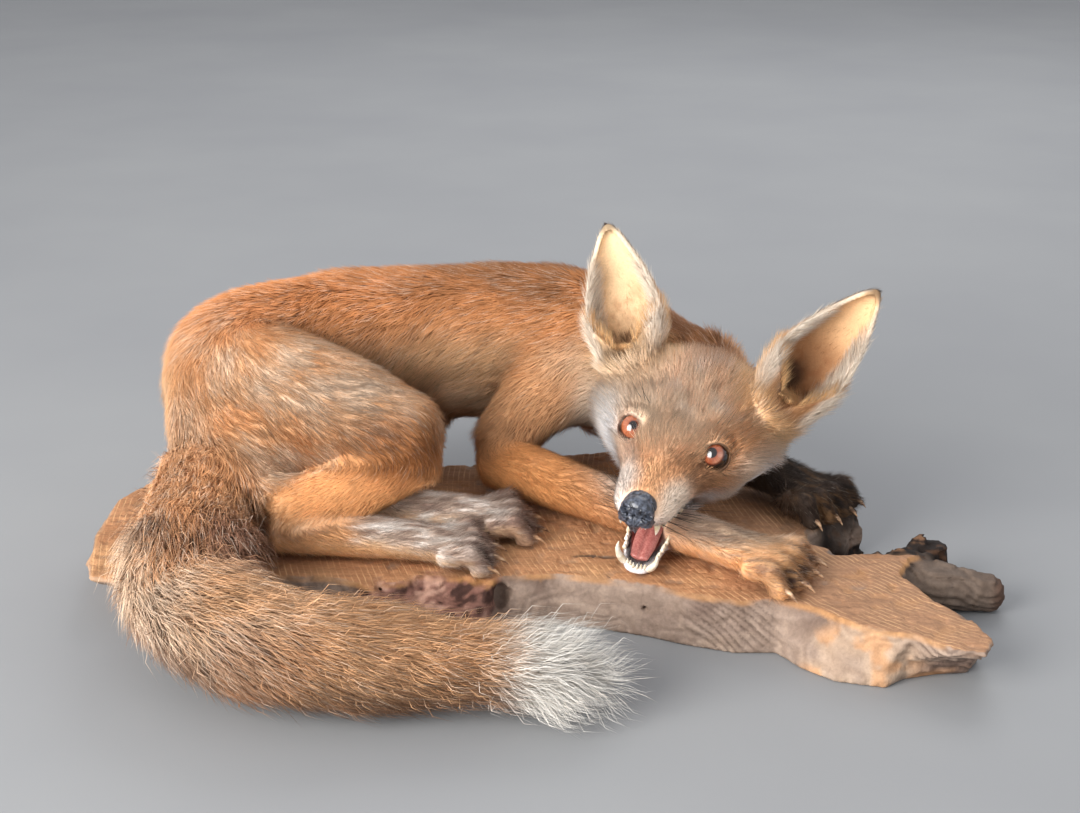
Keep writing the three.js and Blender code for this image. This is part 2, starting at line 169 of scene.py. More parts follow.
studio_light("window_light", (-1.6, -1.55, 1.2), (0, 0, 0.1), 1.6, 59, (1.0, 0.97, 0.93))
studio_light("low_light", (-1.35, -1.45, 0.5), (0.02, 0, 0.08), 1.4, 44, (1.0, 0.97, 0.93))
studio_light("fill_light", (1.7, -1.7, 0.9), (0, 0, 0.1), 2.0, 8, (0.93, 0.96, 1.0))
studio_light("back_light", (0.6, 1.8, 1.8), (0, 0, 0.1), 1.6, 22, (1.0, 1.0, 1.0))

world = bpy.data.worlds.new("studio_air")
world.use_nodes = True
world.node_tree.nodes["Background"].inputs["Color"].default_value = (0.97, 0.97, 1.0, 1.0)
world.node_tree.nodes["Background"].inputs["Strength"].default_value = 0.72
bpy.context.scene.world = world

camera_data = bpy.data.cameras.new("photographer")
camera_data.sensor_width = 36.0
camera_data.lens = CAMERA_LENS
camera_data.clip_start = 0.02
camera = bpy.data.objects.new("photographer", camera_data)
camera.location = CAMERA_AT
camera.rotation_euler = (math.radians(CAMERA_LEAN), 0, 0)
bpy.context.scene.collection.objects.link(camera)
bpy.context.scene.camera = camera
bpy.context.scene.view_settings.view_transform = "Standard"


def make_mesh(name, points, faces, smooth=True):
    """A mesh object in metres from points in millimetres and rows of three or four corners."""
    faces = np.asarray(faces, np.int32)
    corners = faces.shape[1]
    mesh = bpy.data.meshes.new(name)
    mesh.vertices.add(len(points))
    mesh.vertices.foreach_set("co", (np.asarray(points) * 0.001).astype(np.float32).ravel())
    mesh.loops.add(faces.size)
    mesh.loops.foreach_set("vertex_index", faces.ravel())
    mesh.polygons.add(len(faces))
    mesh.polygons.foreach_set("loop_start", np.arange(0, faces.size, corners, dtype=np.int32))
    mesh.polygons.foreach_set("use_smooth", np.full(len(faces), smooth))
    mesh.update(calc_edges=True)
    piece = bpy.data.objects.new(name, mesh)
    bpy.context.scene.collection.objects.link(piece)
    return piece


FLOOR_HALF = 6000.0
floor_corners = [(x * FLOOR_HALF, y * FLOOR_HALF, 0) for x, y in ((-1, -1), (1, -1), (1, 1), (-1, 1))]
floor = make_mesh("floor", floor_corners, [(0, 1, 2, 3)])
floor_paint = Recipe("pale_floor", roughness=0.7, specular=0.25)
floor_paint.colour(floor_paint.shade(
    floor_paint.noise(floor_paint.place(), 3.0), (0.3, tint(138, 140, 143)), (0.7, tint(144, 146, 148)),
))
floor.data.materials.append(floor_paint.material)

# ---------------------------------------------------------------- slab
# A slice across the root plate of an old tree, band-sawn flat above and below. The rim is as it
# grew and weathered: grey, wrinkled, wormed and undercut, with a rotten pocket at the front.

SLAB_STEP = 1.5
SLAB_TOP = 32.0
BAND = 5  # cells of distance kept on each side of a surface


def axes_of(first, count, step):
    """The coordinates of a grid's cells along each axis, shaped to spread over the whole grid."""
    return np.ix_(*[((first[k] + np.arange(count[k])) * step).astype(np.float32) for k in range(3)])


def lattice(low, high, step):
    """The cells of a box on the common grid: first cell, counts and coordinates."""
    first = np.floor(np.array(low) / step).astype(int)
    count = np.ceil(np.array(high) / step).astype(int) - first + 1
    return tuple(map(int, first)), tuple(map(int, count)), axes_of(first, count, step)


def distance_field(points, faces, first, count, step, band=BAND):
    """Signed distance to a closed mesh at the cells of a box, in millimetres."""
    grid = openvdb.FloatGrid.createLevelSetFromPolygons(
        np.ascontiguousarray(points, np.float32), triangles=np.ascontiguousarray(faces, np.uint32),
        transform=openvdb.createLinearTransform(step), halfWidth=band,
    )
    cells = np.empty(count, np.float32)
    grid.copyToArray(cells, ijk=first)
    return cells


def ease(low, high, value):
    """0 below low, 1 above high, smooth between. low may be the larger."""
    t = np.clip((value - low) / (high - low), 0, 1)
    return t * t * (3 - 2 * t)


def scatter(cells, seed):
    """A number from 0 to 1 for each whole-numbered cell, always the same for the same seed."""
    x, y, z = (v.astype(np.int64) for v in cells)
    h = (x * 73856093) ^ (y * 19349663) ^ (z * 83492791) ^ (seed * 2654435761)
    h = (h ^ (h >> 13)) * 1274126177
    return ((h ^ (h >> 16)) & 0xFFFF).astype(np.float32) / 65535.0


def grain(x, y, z, size, seed):
    """Smooth noise from -1 to 1 with lumps of about size millimetres."""
    places = np.broadcast_arrays(*(np.asarray(v, np.float32) / size for v in (x, y, z)))
    lower = [np.floor(v) for v in places]
    part = [v - f for v, f in zip(places, lower)]
    part = [t * t * (3 - 2 * t) for t in part]
    total = 0
    for step in np.ndindex(2, 2, 2):
        weights = [t if d else 1 - t for t, d in zip(part, step)]
        near = scatter([f + d for f, d in zip(lower, step)], seed)
        total = total + weights[0] * weights[1] * weights[2] * near
    return total * 2 - 1


def numbers(collection, field, width, kind=np.float32):
    """One property of every item of a mesh, as rows."""
    values = np.empty(len(collection) * width, kind)
    collection.foreach_get(field, values)
    return values.reshape(-1, width)


def whole(faces):
    """The triangles that have three different corners."""
    a, b, c = faces.T
    return faces[(a != b) & (b != c) & (a != c)]


def welded(mesh, step=0.1):
    """Points in millimetres and triangles of a mesh whose faces are loose."""
    mesh.calc_loop_triangles()
    corners = numbers(mesh.loop_triangles, "vertices", 3, np.int32)
    places = np.round(numbers(mesh.vertices, "co", 3) * 1000.0 / step).astype(np.int64)
    points, index = np.unique(places, axis=0, return_inverse=True)
    return points * step, whole(index.reshape(-1)[corners])


def surface_of(cells, first, step, band):
    """Points in millimetres and quads of the surface where a field changes sign."""
    grid = openvdb.FloatGrid(background=float(band))
    grid.copyFromArray(np.clip(cells, -band, band), ijk=first)
    points, quads = grid.convertToQuads(0.0)
    return points * step, quads


def window(low, high, first, count, step, margin):
    """The part of a lattice that holds a box, as slices and as the lattice of its own."""
    a = np.maximum(np.floor((np.array(low) - margin) / step).astype(int) - first, 0)
    b = np.minimum(np.ceil((np.array(high) + margin) / step).astype(int) - first + 1, count)
    part = tuple(slice(int(p), int(q)) for p, q in zip(a, b))
    own_first = tuple(int(f + p) for f, p in zip(first, a))
    return part, own_first, tuple(int(q - p) for p, q in zip(a, b))


def out_from(x, y, z, centre, radii):
    """The square of how far places are from a centre, 1 on the ellipsoid of these radii."""
    return sum(((v - middle) / radius) ** 2 for v, middle, radius in zip((x, y, z), centre, radii))


def pit(x, y, z, centre, radii):
    """Distance-like value of a rounded hollow, negative inside."""
    return (np.sqrt(out_from(x, y, z, centre, radii)) - 1) * min(radii)


slab_points, slab_faces = welded(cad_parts["slab"].data)
first, count, (sx, sy, sz) = lattice(slab_points.min(0) - 9, slab_points.max(0) + 9, SLAB_STEP)
wood = distance_field(slab_points, slab_faces, first, count, SLAB_STEP)


def rim_crease(x, y, z):
    """Low along the creases between the plates of the rim."""
    return np.abs(grain(x + 3 * grain(x, y, z, 15, 8), y, z * 0.6, 9, 11))


def rim_folds(x, y, z):
    """Waves where the growing wood was pushed into folds, at the front and at the right end."""
    front = np.sin((0.75 * x + 1.1 * z + 6 * grain(x, y, z, 20, 9)) * 1.15)
    right_end = np.sin(0.3 * x + 1.2 * z + 7 * grain(x, y, z, 16, 10))
    return front * ease(40, 16, np.hypot(x - 112, 1.5 * (z - 16))) + right_end * ease(190, 225, x)


# The rim's wrinkles, folds and burnt crust lift the surface by millimetres; the sawn edge is
# chipped. Then the rotten pocket, worm holes, bites of the saw and checks are cut out.
close = np.nonzero(np.abs(wood) < BAND * SLAB_STEP - 0.1)
px, py, pz = sx.ravel()[close[0]], sy.ravel()[close[1]], sz.ravel()[close[2]]
value = wood[close]
rim = ease(SLAB_TOP - 0.5, SLAB_TOP - 5, pz) * ease(0.5, 4, pz)
wrinkle = 1.7 * grain(px, py, pz * 0.7, 19, 3) + 0.7 * grain(px, py, pz * 0.8, 8, 5)
wrinkle = wrinkle + 0.5 * ease(0.14, 0.0, rim_crease(px, py, pz)) + 0.35 * grain(px, py, pz, 3.2, 7)
value += rim * (wrinkle + 0.85 * rim_folds(px, py, pz) * ease(-40, -60, py))
char = ease(178, 190, px) * ease(-70, -60, py) * ease(20, 10, py)
crust = 4.5 * grain(px, py, pz, 14, 30) + 3.4 * np.abs(grain(px, py, pz, 6, 31))
value += char * (crust + 1.6 * np.abs(grain(px, py, pz, 3, 32))) * ease(0.5, 4, pz)
chipped = 1.1 * ease(0.15, 0.6, grain(px, py, 0 * pz, 7, 37))
chipped = chipped + 0.7 * ease(0.3, 0.8, grain(px, py, 0 * pz, 3, 38))
on_edge = ease(-7, 0, value) * ease(SLAB_TOP - 4, SLAB_TOP - 1, pz) * (pz < SLAB_TOP - 0.4)
wood[close] = value + chipped * on_edge
part, own_first, own_count = window(
    (-116, -160, 2), (-8, -84, SLAB_TOP + 8), first, wood.shape, SLAB_STEP, 0
)
qx, qy, qz = axes_of(own_first, own_count, SLAB_STEP)
pocket = pit(
    qx + 3 * grain(qx, qy, qz, 14, 22), qy + 3 * grain(qx, qy, qz, 12, 20),
    qz + 2.5 * grain(qx, qy, qz, 9, 21), (-62, -126, 35), (46, 31, 16),
)
pocket = pocket + 2.6 * grain(qx, qy, qz, 8, 23) + 1.6 * np.abs(grain(qx, qy, qz, 4, 24))
wood[part] = np.maximum(wood[part], -pocket)
for centre, radii in (
    ((63, -113, 17), (1.7, 7, 1.5)),
    ((97, -121, 23), (5.0, 3, 1.1)),
    ((-20, -103, 21), (4.0, 9, 3.0)),
    ((30, -69, 32), (9, 0.9, 2.2)),
    ((-97, -101, 21), (8, 12, 8)),
    ((-24, -101, 20), (6, 8, 8)),
    ((42, -71, 32), (6, 1.1, 2.6)),
):
    wood = np.maximum(wood, -pit(sx, sy, sz, centre, radii))
wood = np.maximum(wood, 0.02 - sz)
wood_points, wood_quads = surface_of(wood, first, SLAB_STEP, BAND * SLAB_STEP)
slab = make_mesh("root_wood_slab", wood_points, wood_quads)


def lightened(piece, share):
    """Thins a piece's mesh to a share of its faces and gives the new mesh."""
    piece.modifiers.new("thin", "DECIMATE").ratio = share
    mesh = bpy.data.meshes.new_from_object(piece.evaluated_get(bpy.context.evaluated_depsgraph_get()))
    mesh.validate()
    piece.modifiers.clear()
    piece.data = mesh
    return mesh


WOOD_FACES_KEPT = 0.5
slab_mesh = lightened(slab, WOOD_FACES_KEPT)


def paint(base, colour, amount):
    """Lays a colour over rows of colours by an amount for each row."""
    return base + (np.asarray(colour) - base) * np.clip(amount, 0, 1)[:, None]


def blot(points, centre, radii, soft=0.35):
    """1 inside an ellipsoid, easing to 0 outside it."""
    reach = np.sqrt((((points - np.array(centre, float)) / np.array(radii, float)) ** 2).sum(1))
    return ease(1 + soft, 1 - soft, reach)


def keep_tints(mesh, name, rows):
    """Stores a colour for every corner point of a mesh."""
    layer = mesh.attributes.new(name, "FLOAT_COLOR", "POINT")
    opaque = np.concatenate([rows, np.ones((len(rows), 1))], 1)
    layer.data.foreach_set("color", opaque.astype(np.float32).ravel())


# Colour of the wood: fresh and tan where the saw went, golden at the chipped edge, grey-brown on
# the weathered rim, purple-brown in the rotten pocket and black on the burnt root at the back.
spots = numbers(slab_mesh.vertices, "co", 3) * 1000.0
out = numbers(slab_mesh.vertices, "normal", 3)
px, py, pz = spots.T
broad_tone, mid_tone, fine_tone = (grain(px, py, pz, size, 70 + k) for k, size in enumerate((34, 12, 4)))
burl = blot(spots, (172, -176, 14), (44, 26, 24), 0.3)
flaked = 0.8 * ease(9, 2, pz) * ease(130, 170, px) * ease(0.0, 0.5, mid_tone)
worn = np.maximum(burl * ease(0.25, 0.6, mid_tone + 0.3 * fine_tone), flaked)
stubs = np.maximum(
    blot(spots, (228, -98, 16), (22, 36, 30), 0.3), blot(spots, (262, -76, 14), (44, 26, 24), 0.3),
)
rotten = ease(6, 2, pit(px, py, pz, (-62, -126, 33), (46, 32, 22)))
rotten = rotten * ease(-0.98, -0.9, -out[:, 2] * (pz > SLAB_TOP - 1))
burnt = ease(172, 186, px) * ease(-72, -60, py) * ease(24, 12, py)
sawn = ease(0.8, 0.95, out[:, 2]) * ease(SLAB_TOP - 1.6, SLAB_TOP - 0.6, pz) * (1 - 0.8 * burnt)
chipped_edge = ease(SLAB_TOP - 4, SLAB_TOP - 2, pz) * (1 - sawn) * (1 - burnt)
# The checks are painted dark inside: painted shade in the cracks.
checks = np.maximum(
    blot(spots, (30, -69, 31), (10, 1.6, 3), 0.3), blot(spots, (42, -71, 31), (6.5, 1.8, 3), 0.3),
)
wood_tint = np.repeat(tint(156, 136, 122)[None], len(spots), 0)
for shade, amount in (
    ((124, 104, 93), ease(-0.3, 0.7, 0.7 * broad_tone + 0.5 * mid_tone)),
    ((182, 160, 142), 0.8 * ease(0.1, 0.8, -0.6 * broad_tone + 0.5 * fine_tone)),
    # painted shade: darker along the creases of the rim and in the hollows of its folds
    ((104, 88, 78), 0.25 * ease(0.1, 0.0, rim_crease(px, py, pz))),
    ((92, 76, 68), 0.65 * ease(0.1, 0.9, rim_folds(px, py, pz))),
    ((188, 163, 140), 0.75 * burl * ease(-0.8, 0.2, mid_tone)),
    ((200, 146, 98), 0.6 * worn),
    ((100, 87, 77), 0.8 * stubs),
    ((84, 60, 48), 0.8 * blot(spots, (286, -83, 12), (10, 14, 14), 0.4)),
    ((138, 98, 86), 0.92 * rotten),
    ((52, 34, 30), 0.85 * rotten * ease(0.0, 0.5, 0.6 * mid_tone + 0.7 * fine_tone)),
    ((206, 166, 146), 0.7 * rotten * ease(0.1, 0.5, -0.6 * mid_tone - 0.6 * fine_tone)),
    ((26, 18, 15), 0.97 * burnt * ease(-0.9, 0.1, mid_tone + 0.3)),
    ((104, 72, 50), 0.4 * burnt * ease(0.35, 0.7, fine_tone)),
    ((184, 134, 96), sawn),
    ((156, 108, 74), 0.6 * sawn * ease(-0.1, 0.7, 0.8 * broad_tone + 0.3 * mid_tone)),
    ((204, 156, 112), 0.6 * sawn * ease(0.0, 0.7, -0.8 * broad_tone + 0.3 * mid_tone)),
    ((156, 120, 94), 0.75 * sawn * ease(90, 180, px)),
    ((200, 146, 92), 0.65 * chipped_edge * ease(-0.6, 0.3, mid_tone)),
    # painted shade inside the checks
    ((50, 34, 26), 0.8 * checks),
):
    wood_tint = paint(wood_tint, tint(*shade), amount)
keep_tints(slab_mesh, "wood_colour", wood_tint)
flat_share = slab_mesh.attributes.new("sawn", "FLOAT", "POINT")
flat_share.data.foreach_set("value", sawn.astype(np.float32))

timber = Recipe("weathered_wood", roughness=0.78, specular=0.2)
kerf = timber.rings(timber.place(move=(-0.419, -0.060, 0)), 85, warp=0.6, detail=2.0)
broken = timber.noise(timber.place(), 55, detail=3)
kerf_line = timber.shade(kerf, (0.78, 0.0), (0.98, 1.0))
kerf_line = timber.math("MULTIPLY", kerf_line, timber.shade(broken, (0.36, 0.0), (0.66, 1.0)))
kerf_line = timber.math("MULTIPLY", kerf_line, timber.reads("sawn", "Fac"))
fibre = timber.noise(timber.place((0.06, 1, 1), turn=(0, 0, 1.0)), 420, detail=4)
grit = timber.noise(timber.place(), 420, detail=4, rough=0.65)
growth = timber.noise(timber.place((1, 1, 1.6)), 16, detail=2)
growth = timber.math("SINE", timber.math("MULTIPLY", growth, 75))
growth = timber.math("MULTIPLY_ADD", growth, 0.5)
growth = timber.math("MULTIPLY", growth, timber.math("SUBTRACT", 1.0, timber.reads("sawn", "Fac")))
gritty = timber.shade(grit, (0.25, 0.80), (0.75, 1.12))
tone = timber.mix(1.0, timber.reads("wood_colour"), gritty, "MULTIPLY")
between_rings = timber.mix(1.0, tone, tint(190, 180, 172), "MULTIPLY")
tone = timber.mix(timber.math("MULTIPLY", growth, 0.35), tone, between_rings)
fibrous = timber.mix(1.0, tone, timber.shade(fibre, (0.3, 0.78), (0.7, 1.1)), "MULTIPLY")
tone = timber.mix(timber.math("MULTIPLY", timber.reads("sawn", "Fac"), 0.8), tone, fibrous)
timber.colour(timber.mix(timber.math("MULTIPLY", kerf_line, 0.6), tone, tint(226, 182, 134)))
relief = timber.math("ADD", grit, timber.math("MULTIPLY", kerf_line, -0.25))
timber.bump(timber.math("ADD", relief, timber.math("MULTIPLY", growth, 0.5)), 0.6, 0.0012)
slab_mesh.materials.append(timber.material)
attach(slab, "root")
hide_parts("slab")

# ---------------------------------------------------------------- body under the coat
# The tanned skin over a wound and padded body form, here without its fur. Limbs, trunk and brush
# run into each other in soft creases. The specimen lies on its slab, with the brush over its edge.

COARSE = 2.4  # step of the grid that the body is formed on
FINE = 1.2    # step of the grid that feet and head are added on


def blended_rows(rows, place):
    """The stations' numbers at places along them, smooth through every station."""
    rows = np.asarray(rows, float)
    last = len(rows) - 1
    i = np.clip(np.floor(place).astype(int), 0, last - 1)
    t = (place - i)[:, None]
    a, b, c, d = (rows[np.clip(i + k, 0, last)] for k in (-1, 0, 1, 2))
    return (
        (2 * t**3 - 3 * t**2 + 1) * b + (t**3 - 2 * t**2 + t) * (c - a) / 2
        + (3 * t**2 - 2 * t**3) * c + (t**3 - t**2) * (d - b) / 2
    )


def unit(rows):
    return rows / np.maximum(np.linalg.norm(rows, axis=-1, keepdims=True), 1e-9)


def limb_shell(stations, up=(0, 0, 1), dome=0.6, sides=32, rings=36):
    """A smooth closed body through stations of x, y, z, half width, half up, half down, coat."""
    rows = np.asarray(stations, float)
    last = len(rows) - 1
    s = np.linspace(0, last, rings)
    values = blended_rows(rows, s)
    before, after = (blended_rows(rows, np.clip(s + step, 0, last)) for step in (-0.02, 0.02))
    ahead = unit((after - before)[:, :3])
    side = unit(np.cross(ahead, np.array(up, float)))
    rise = np.cross(side, ahead)
    centre = values[:, :3]
    half = np.maximum(values[:, 3:6] - values[:, 6:7], 0.6)
    turns = np.radians(np.linspace(84, 12, 7))
    reach = np.minimum(half[:, 0], half[:, 1]) * dome
    centre = np.concatenate([
        centre[0] - ahead[0] * reach[0] * np.sin(turns)[:, None], centre,
        centre[-1] + ahead[-1] * reach[-1] * np.sin(turns[::-1])[:, None],
    ])
    half = np.concatenate([half[0] * np.cos(turns)[:, None], half, half[-1] * np.cos(turns[::-1])[:, None]])
    side, rise = (
        np.concatenate([np.repeat(v[:1], 7, 0), v, np.repeat(v[-1:], 7, 0)]) for v in (side, rise)
    )
    angle = 2 * np.pi * np.arange(sides) / sides
    x = np.cos(angle) * half[:, :1]
    y = np.sin(angle) * np.where(np.sin(angle) > 0, half[:, 1:2], half[:, 2:3])
    points = centre[:, None] + side[:, None] * x[..., None] + rise[:, None] * y[..., None]
    n = len(centre)
    grid = np.arange(n * sides).reshape(n, sides)
    right = np.roll(grid, -1, 1)
    faces = [
        np.stack(corners, -1).reshape(-1, 3)
        for corners in ((grid[:-1], grid[1:], right[:-1]), (right[:-1], grid[1:], right[1:]))
    ]
    faces.append(np.stack([np.full(sides, n * sides), grid[0], right[0]], -1))
    faces.append(np.stack([np.full(sides, n * sides + 1), right[-1], grid[-1]], -1))
    points = np.concatenate([points.reshape(-1, 3), centre[:1], centre[-1:]])
    return points, np.concatenate(faces)


def fillet(a, b, size):
    """Union of two distance fields with the crease between them filled to about size."""
    share = np.clip(0.5 + 0.5 * (b - a) / size, 0, 1)
    return b * (1 - share) + a * share - size * share * (1 - share)


# Rows along each limb: x, y, z of its middle, half width, half height up and half height down to
# the tips of the coat, and how deep the coat is there.
TRUNK = [
    (-216, 16, 107, 42, 46, 52, 8), (-196, 36, 113, 58, 62, 62, 9), (-132, 80, 119, 55, 60, 54, 9),
    (-50, 99, 118, 52, 60, 60, 9), (14, 92, 118, 55, 62, 66, 10), (58, 70, 113, 50, 56, 56, 11),
    (86, 46, 111, 48, 46, 50, 11), (106, 22, 116, 44, 40, 42, 10),
]
THIGH = {
    "right": [
        (-206, 14, 108, 46, 56, 52, 8), (-168, -6, 106, 48, 60, 56, 7), (-116, -26, 102, 36, 48, 46, 6),
        (-76, -38, 98, 26, 32, 34, 5),
    ],
    "left": [
        (-186, 78, 100, 48, 54, 54, 8), (-148, 106, 92, 44, 54, 54, 8), (-108, 104, 78, 36, 42, 42, 7),
        (-80, 84, 66, 26, 28, 30, 5),
    ],
}
SHIN = {
    "right": [
        (-76, -42, 92, 22, 30, 28, 5), (-116, -56, 73, 21, 25, 25, 4), (-154, -68, 57, 18, 23, 22, 3.5)
    ],
    "left": [(-82, 64, 62, 22, 24, 26, 5), (-98, 18, 54, 20, 20, 20, 4), (-112, -24, 50, 17, 17, 17, 3.5)],
}
UPPER_ARM = {
    "right": [(26, 62, 112, 24, 40, 38, 7), (-6, 44, 90, 22, 30, 32, 6), (-28, 30, 68, 21, 24, 28, 5)],
    "left": [(44, 122, 112, 24, 42, 40, 7), (34, 124, 84, 24, 32, 32, 6), (44, 110, 60, 21, 24, 26, 5)],
}
FOREARM = {
    "right": [(-30, 24, 60, 20, 22, 25, 5), (28, -18, 54, 19, 19, 21, 4), (80, -60, 49, 16, 15, 16, 3)],
    "left": [(52, 104, 58, 20, 22, 24, 5), (100, 70, 54, 18, 19, 20, 4), (142, 36, 50, 15, 16, 17, 3)],
}
TAIL = [
    (-210, -14, 76, 36, 34, 36, 12), (-209, -60, 70, 43, 33, 37, 15), (-209, -106, 63, 48, 33, 34, 19),
    (-203, -150, 54, 49, 37, 50, 22), (-176, -185, 47, 47, 40, 47, 22), (-137, -203, 42, 41, 38, 41, 20),
    (-97, -207, 38, 37, 35, 38, 19), (-60, -207, 34, 33, 32, 34, 19), (-23, -207, 31, 30, 29, 31, 20),
    (10, -208, 27, 26, 25, 27, 19), (38, -208, 20, 17, 16, 18, 14),
]
FEET = {
    "hind_right": [
        (-158, -70, 52, 18, 19, 19, 3.5), (-120, -74, 48, 16, 16, 16, 3), (-80, -76, 46, 17, 13, 14, 2.5),
        (-50, -78, 43, 20, 10, 11, 2),
    ],
    "hind_left": [
        (-112, -32, 50, 17, 17, 17, 3.5), (-80, -36, 48, 16, 16, 16, 3), (-50, -36, 46, 17, 13, 14, 2.5),
        (-25, -34, 43, 19, 10, 11, 2),
    ],
    "fore_right": [
        (84, -66, 49, 16, 15, 16, 3), (112, -86, 47, 17, 14, 14, 2.5), (140, -103, 44, 20, 11, 11, 2)
    ],
    "fore_left": [
        (144, 36, 49, 15, 15, 16, 3), (164, 16, 47, 17, 14, 14, 2.5), (180, -2, 44, 19, 11, 11, 2)
    ],
}
TOES = {
    # heading in degrees, length, distance between neighbours
    "hind_right": (3, 18, 12.4), "hind_left": (8, 18, 12.4),
    "fore_right": (-28, 18, 12.8), "fore_left": (-42, 17, 12.4),
}
TOE_RADIUS = 6.0

node_boxes = np.array([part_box(node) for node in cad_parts]) * 1000
body_low, body_high = node_boxes[:, 0].min(0) - 6, node_boxes[:, 1].max(0) + 6
first_coarse, count_coarse, (cx, cy, cz) = lattice(body_low, body_high, COARSE)
BODY_BAND = 7  # cells of distance kept, wide enough for the widest fillet
body = np.full(count_coarse, BODY_BAND * COARSE, np.float32)


def join_limb(stations, size, rings=36):
    """Joins a limb to the body with a fillet of about this size."""
    points, faces = limb_shell(stations, rings=rings)
    part, own_first, own_count = window(
        points.min(0), points.max(0), first_coarse, body.shape, COARSE, BODY_BAND * COARSE,
    )
    limb = distance_field(points, faces, own_first, own_count, COARSE, BODY_BAND)
    size = size[part] if isinstance(size, np.ndarray) else size
    body[part] = fillet(limb, body[part], size)


join_limb(TRUNK, 0.5, rings=60)
for hind, fore, hind_fillet, fore_fillet in ((THIGH, UPPER_ARM, 12.0, 12.0), (SHIN, FOREARM, 4.0, 5.0)):
    for side in ("right", "left"):
        join_limb(hind[side], hind_fillet)
        join_limb(fore[side], fore_fillet)

# Flesh that shows through short fur: hip, shoulder blade, knee, heel cord, elbow, last ribs.
for centre, radii, lift in (
    ((-196, 20, 168), (26, 26, 16), 2.5),
    ((20, 66, 168), (20, 16, 22), 3.0),
    ((-204, -52, 92), (36, 26, 20), 9.0),
    ((-236, -20, 96), (16, 30, 20), 6.0),
    ((-205, -68, 98), (36, 24, 18), 8.0),
    ((-178, -46, 78), (22, 20, 20), 9.0),
    ((-174, -60, 72), (20, 18, 14), 9.0),
    ((-84, -48, 108), (14, 12, 16), 2.5),
    ((-110, -30, 128), (26, 20, 8), -2.0),
    ((-30, 18, 62), (12, 12, 12), 2.5),
    ((-70, 60, 118), (22, 14, 30), -4.0),
    ((-10, 52, 120), (16, 14, 34), 2.5),
    ((-150, -50, 120), (24, 14, 30), 2.0),
    ((-134, -84, 60), (12, 8, 6), -2.0),
):
    body -= lift * np.exp(-out_from(cx, cy, cz, centre, radii))
# The brush merges softly into the rump, parts from the thigh, and its hair fills its own crook.
near_rump = 1.5 + 10 * ease(-70, -30, cy) * ease(-150, -175, cx) + 0 * cz
join_limb(TAIL, near_rump.astype(np.float32), rings=90)
body -= 11 * np.exp(-out_from(cx, cy, cz, (-170, -122, 56), (22, 26, 20)))
body += 0.8 * grain(cx, cy, cz, 34, 41) + 0.35 * grain(cx, cy, cz, 13, 42)


def softened(field, passes):
    """The field averaged with its neighbours, which rounds off what is smaller than a few cells."""
    for _ in range(passes):
        for k in range(3):
            edge = [(1, 1) if a == k else (0, 0) for a in range(3)]
            wide = np.pad(field, edge, mode="edge")
            cut = [slice(None)] * 3
            pieces = []
            for shift in (0, 1, 2):
                cut[k] = slice(shift, shift + field.shape[k])
                pieces.append(wide[tuple(cut)])
            field = 0.25 * pieces[0] + 0.5 * pieces[1] + 0.25 * pieces[2]
    return field


body = softened(body, 2)


def halved(field):
    """The same field with one more value halfway between every two along each axis."""
    for k in range(3):
        low = np.take(field, range(field.shape[k] - 1), k)
        high = np.take(field, range(1, field.shape[k]), k)
        shape = list(field.shape)
        shape[k] = 2 * shape[k] - 1
        wide = np.empty(shape, np.float32)
        cut = [slice(None)] * 3
        cut[k] = slice(0, None, 2)
        wide[tuple(cut)] = field
        cut[k] = slice(1, None, 2)
        wide[tuple(cut)] = (low + high) / 2
        field = wide
    return field


flesh = halved(body)
first_fine = tuple(2 * f for f in first_coarse)
FLESH_BAND = 4


def round_bar(x, y, z, a, b, ra, rb):
    """Distance to a bar from a to b with rounded ends of two radii."""
    a, b = np.array(a, float), np.array(b, float)
    way = b - a
    from_a = [v - c for v, c in zip((x, y, z), a)]
    share = np.clip(sum(v * w for v, w in zip(from_a, way)) / (way @ way), 0, 1)
    apart = np.sqrt(sum((v - share * w) ** 2 for v, w in zip(from_a, way)))
    return apart - (ra + (rb - ra) * share)


def toe_joints(name, number):
    """Root, knuckle and tip of one toe, with the way that it points."""
    heading, length, spread = TOES[name]
    x, y, z = FEET[name][-1][:3]
    place = number - 1.5
    across = math.radians(heading + 90)
    turn = math.radians(heading + place * spread * 0.9)
    root = np.array([x + math.cos(across) * place * spread, y + math.sin(across) * place * spread, z])
    ahead = np.array([math.cos(turn), math.sin(turn), 0.0])
    reach = length * (1 if abs(place) < 1 else 0.8)
    tip = root + ahead * reach
    tip[2] = SLAB_TOP + TOE_RADIUS * 0.82
    knuckle = root + ahead * reach * 0.45
    knuckle[2] = z + 2.6
    return root - ahead * 8, knuckle, tip, ahead


for name, stations in FEET.items():
    points, faces = limb_shell(stations)
    ends = [toe_joints(name, n)[2] for n in range(4)]
    low = np.minimum(points.min(0), np.min(ends, 0) - 8)
    high = np.maximum(points.max(0), np.max(ends, 0) + 8)
    part, own_first, own_count = window(low, high, first_fine, flesh.shape, FINE, 8)
    fx, fy, fz = axes_of(own_first, own_count, FINE)
    foot = distance_field(points, faces, own_first, own_count, FINE, 6)
    for number in range(4):
        root, knuckle, tip, ahead = toe_joints(name, number)
        toe = round_bar(fx, fy, fz, root, knuckle, 6.4, 6.0)
        toe = fillet(toe, round_bar(fx, fy, fz, knuckle, tip, 5.8, 5.0), 2.0)
        pad = round_bar(fx, fy, fz, tip - ahead * 3 - (0, 0, 1.0), tip - (0, 0, 1.0), 4.4, 4.0)
        foot = fillet(foot, fillet(toe, pad, 1.5), 3.0)
    for sinew in (-0.5, 0.5):
        root = toe_joints(name, 1 if sinew < 0 else 2)[0]
        back = np.array(stations[-2][:3]) + (0, 0, stations[-2][4] - 3)
        foot -= 0.8 * np.exp(-np.maximum(round_bar(fx, fy, fz, back, root + (0, 0, 8), 0, 0), 0) ** 2 / 8)
    flesh[part] = fillet(foot, flesh[part], 3.0)

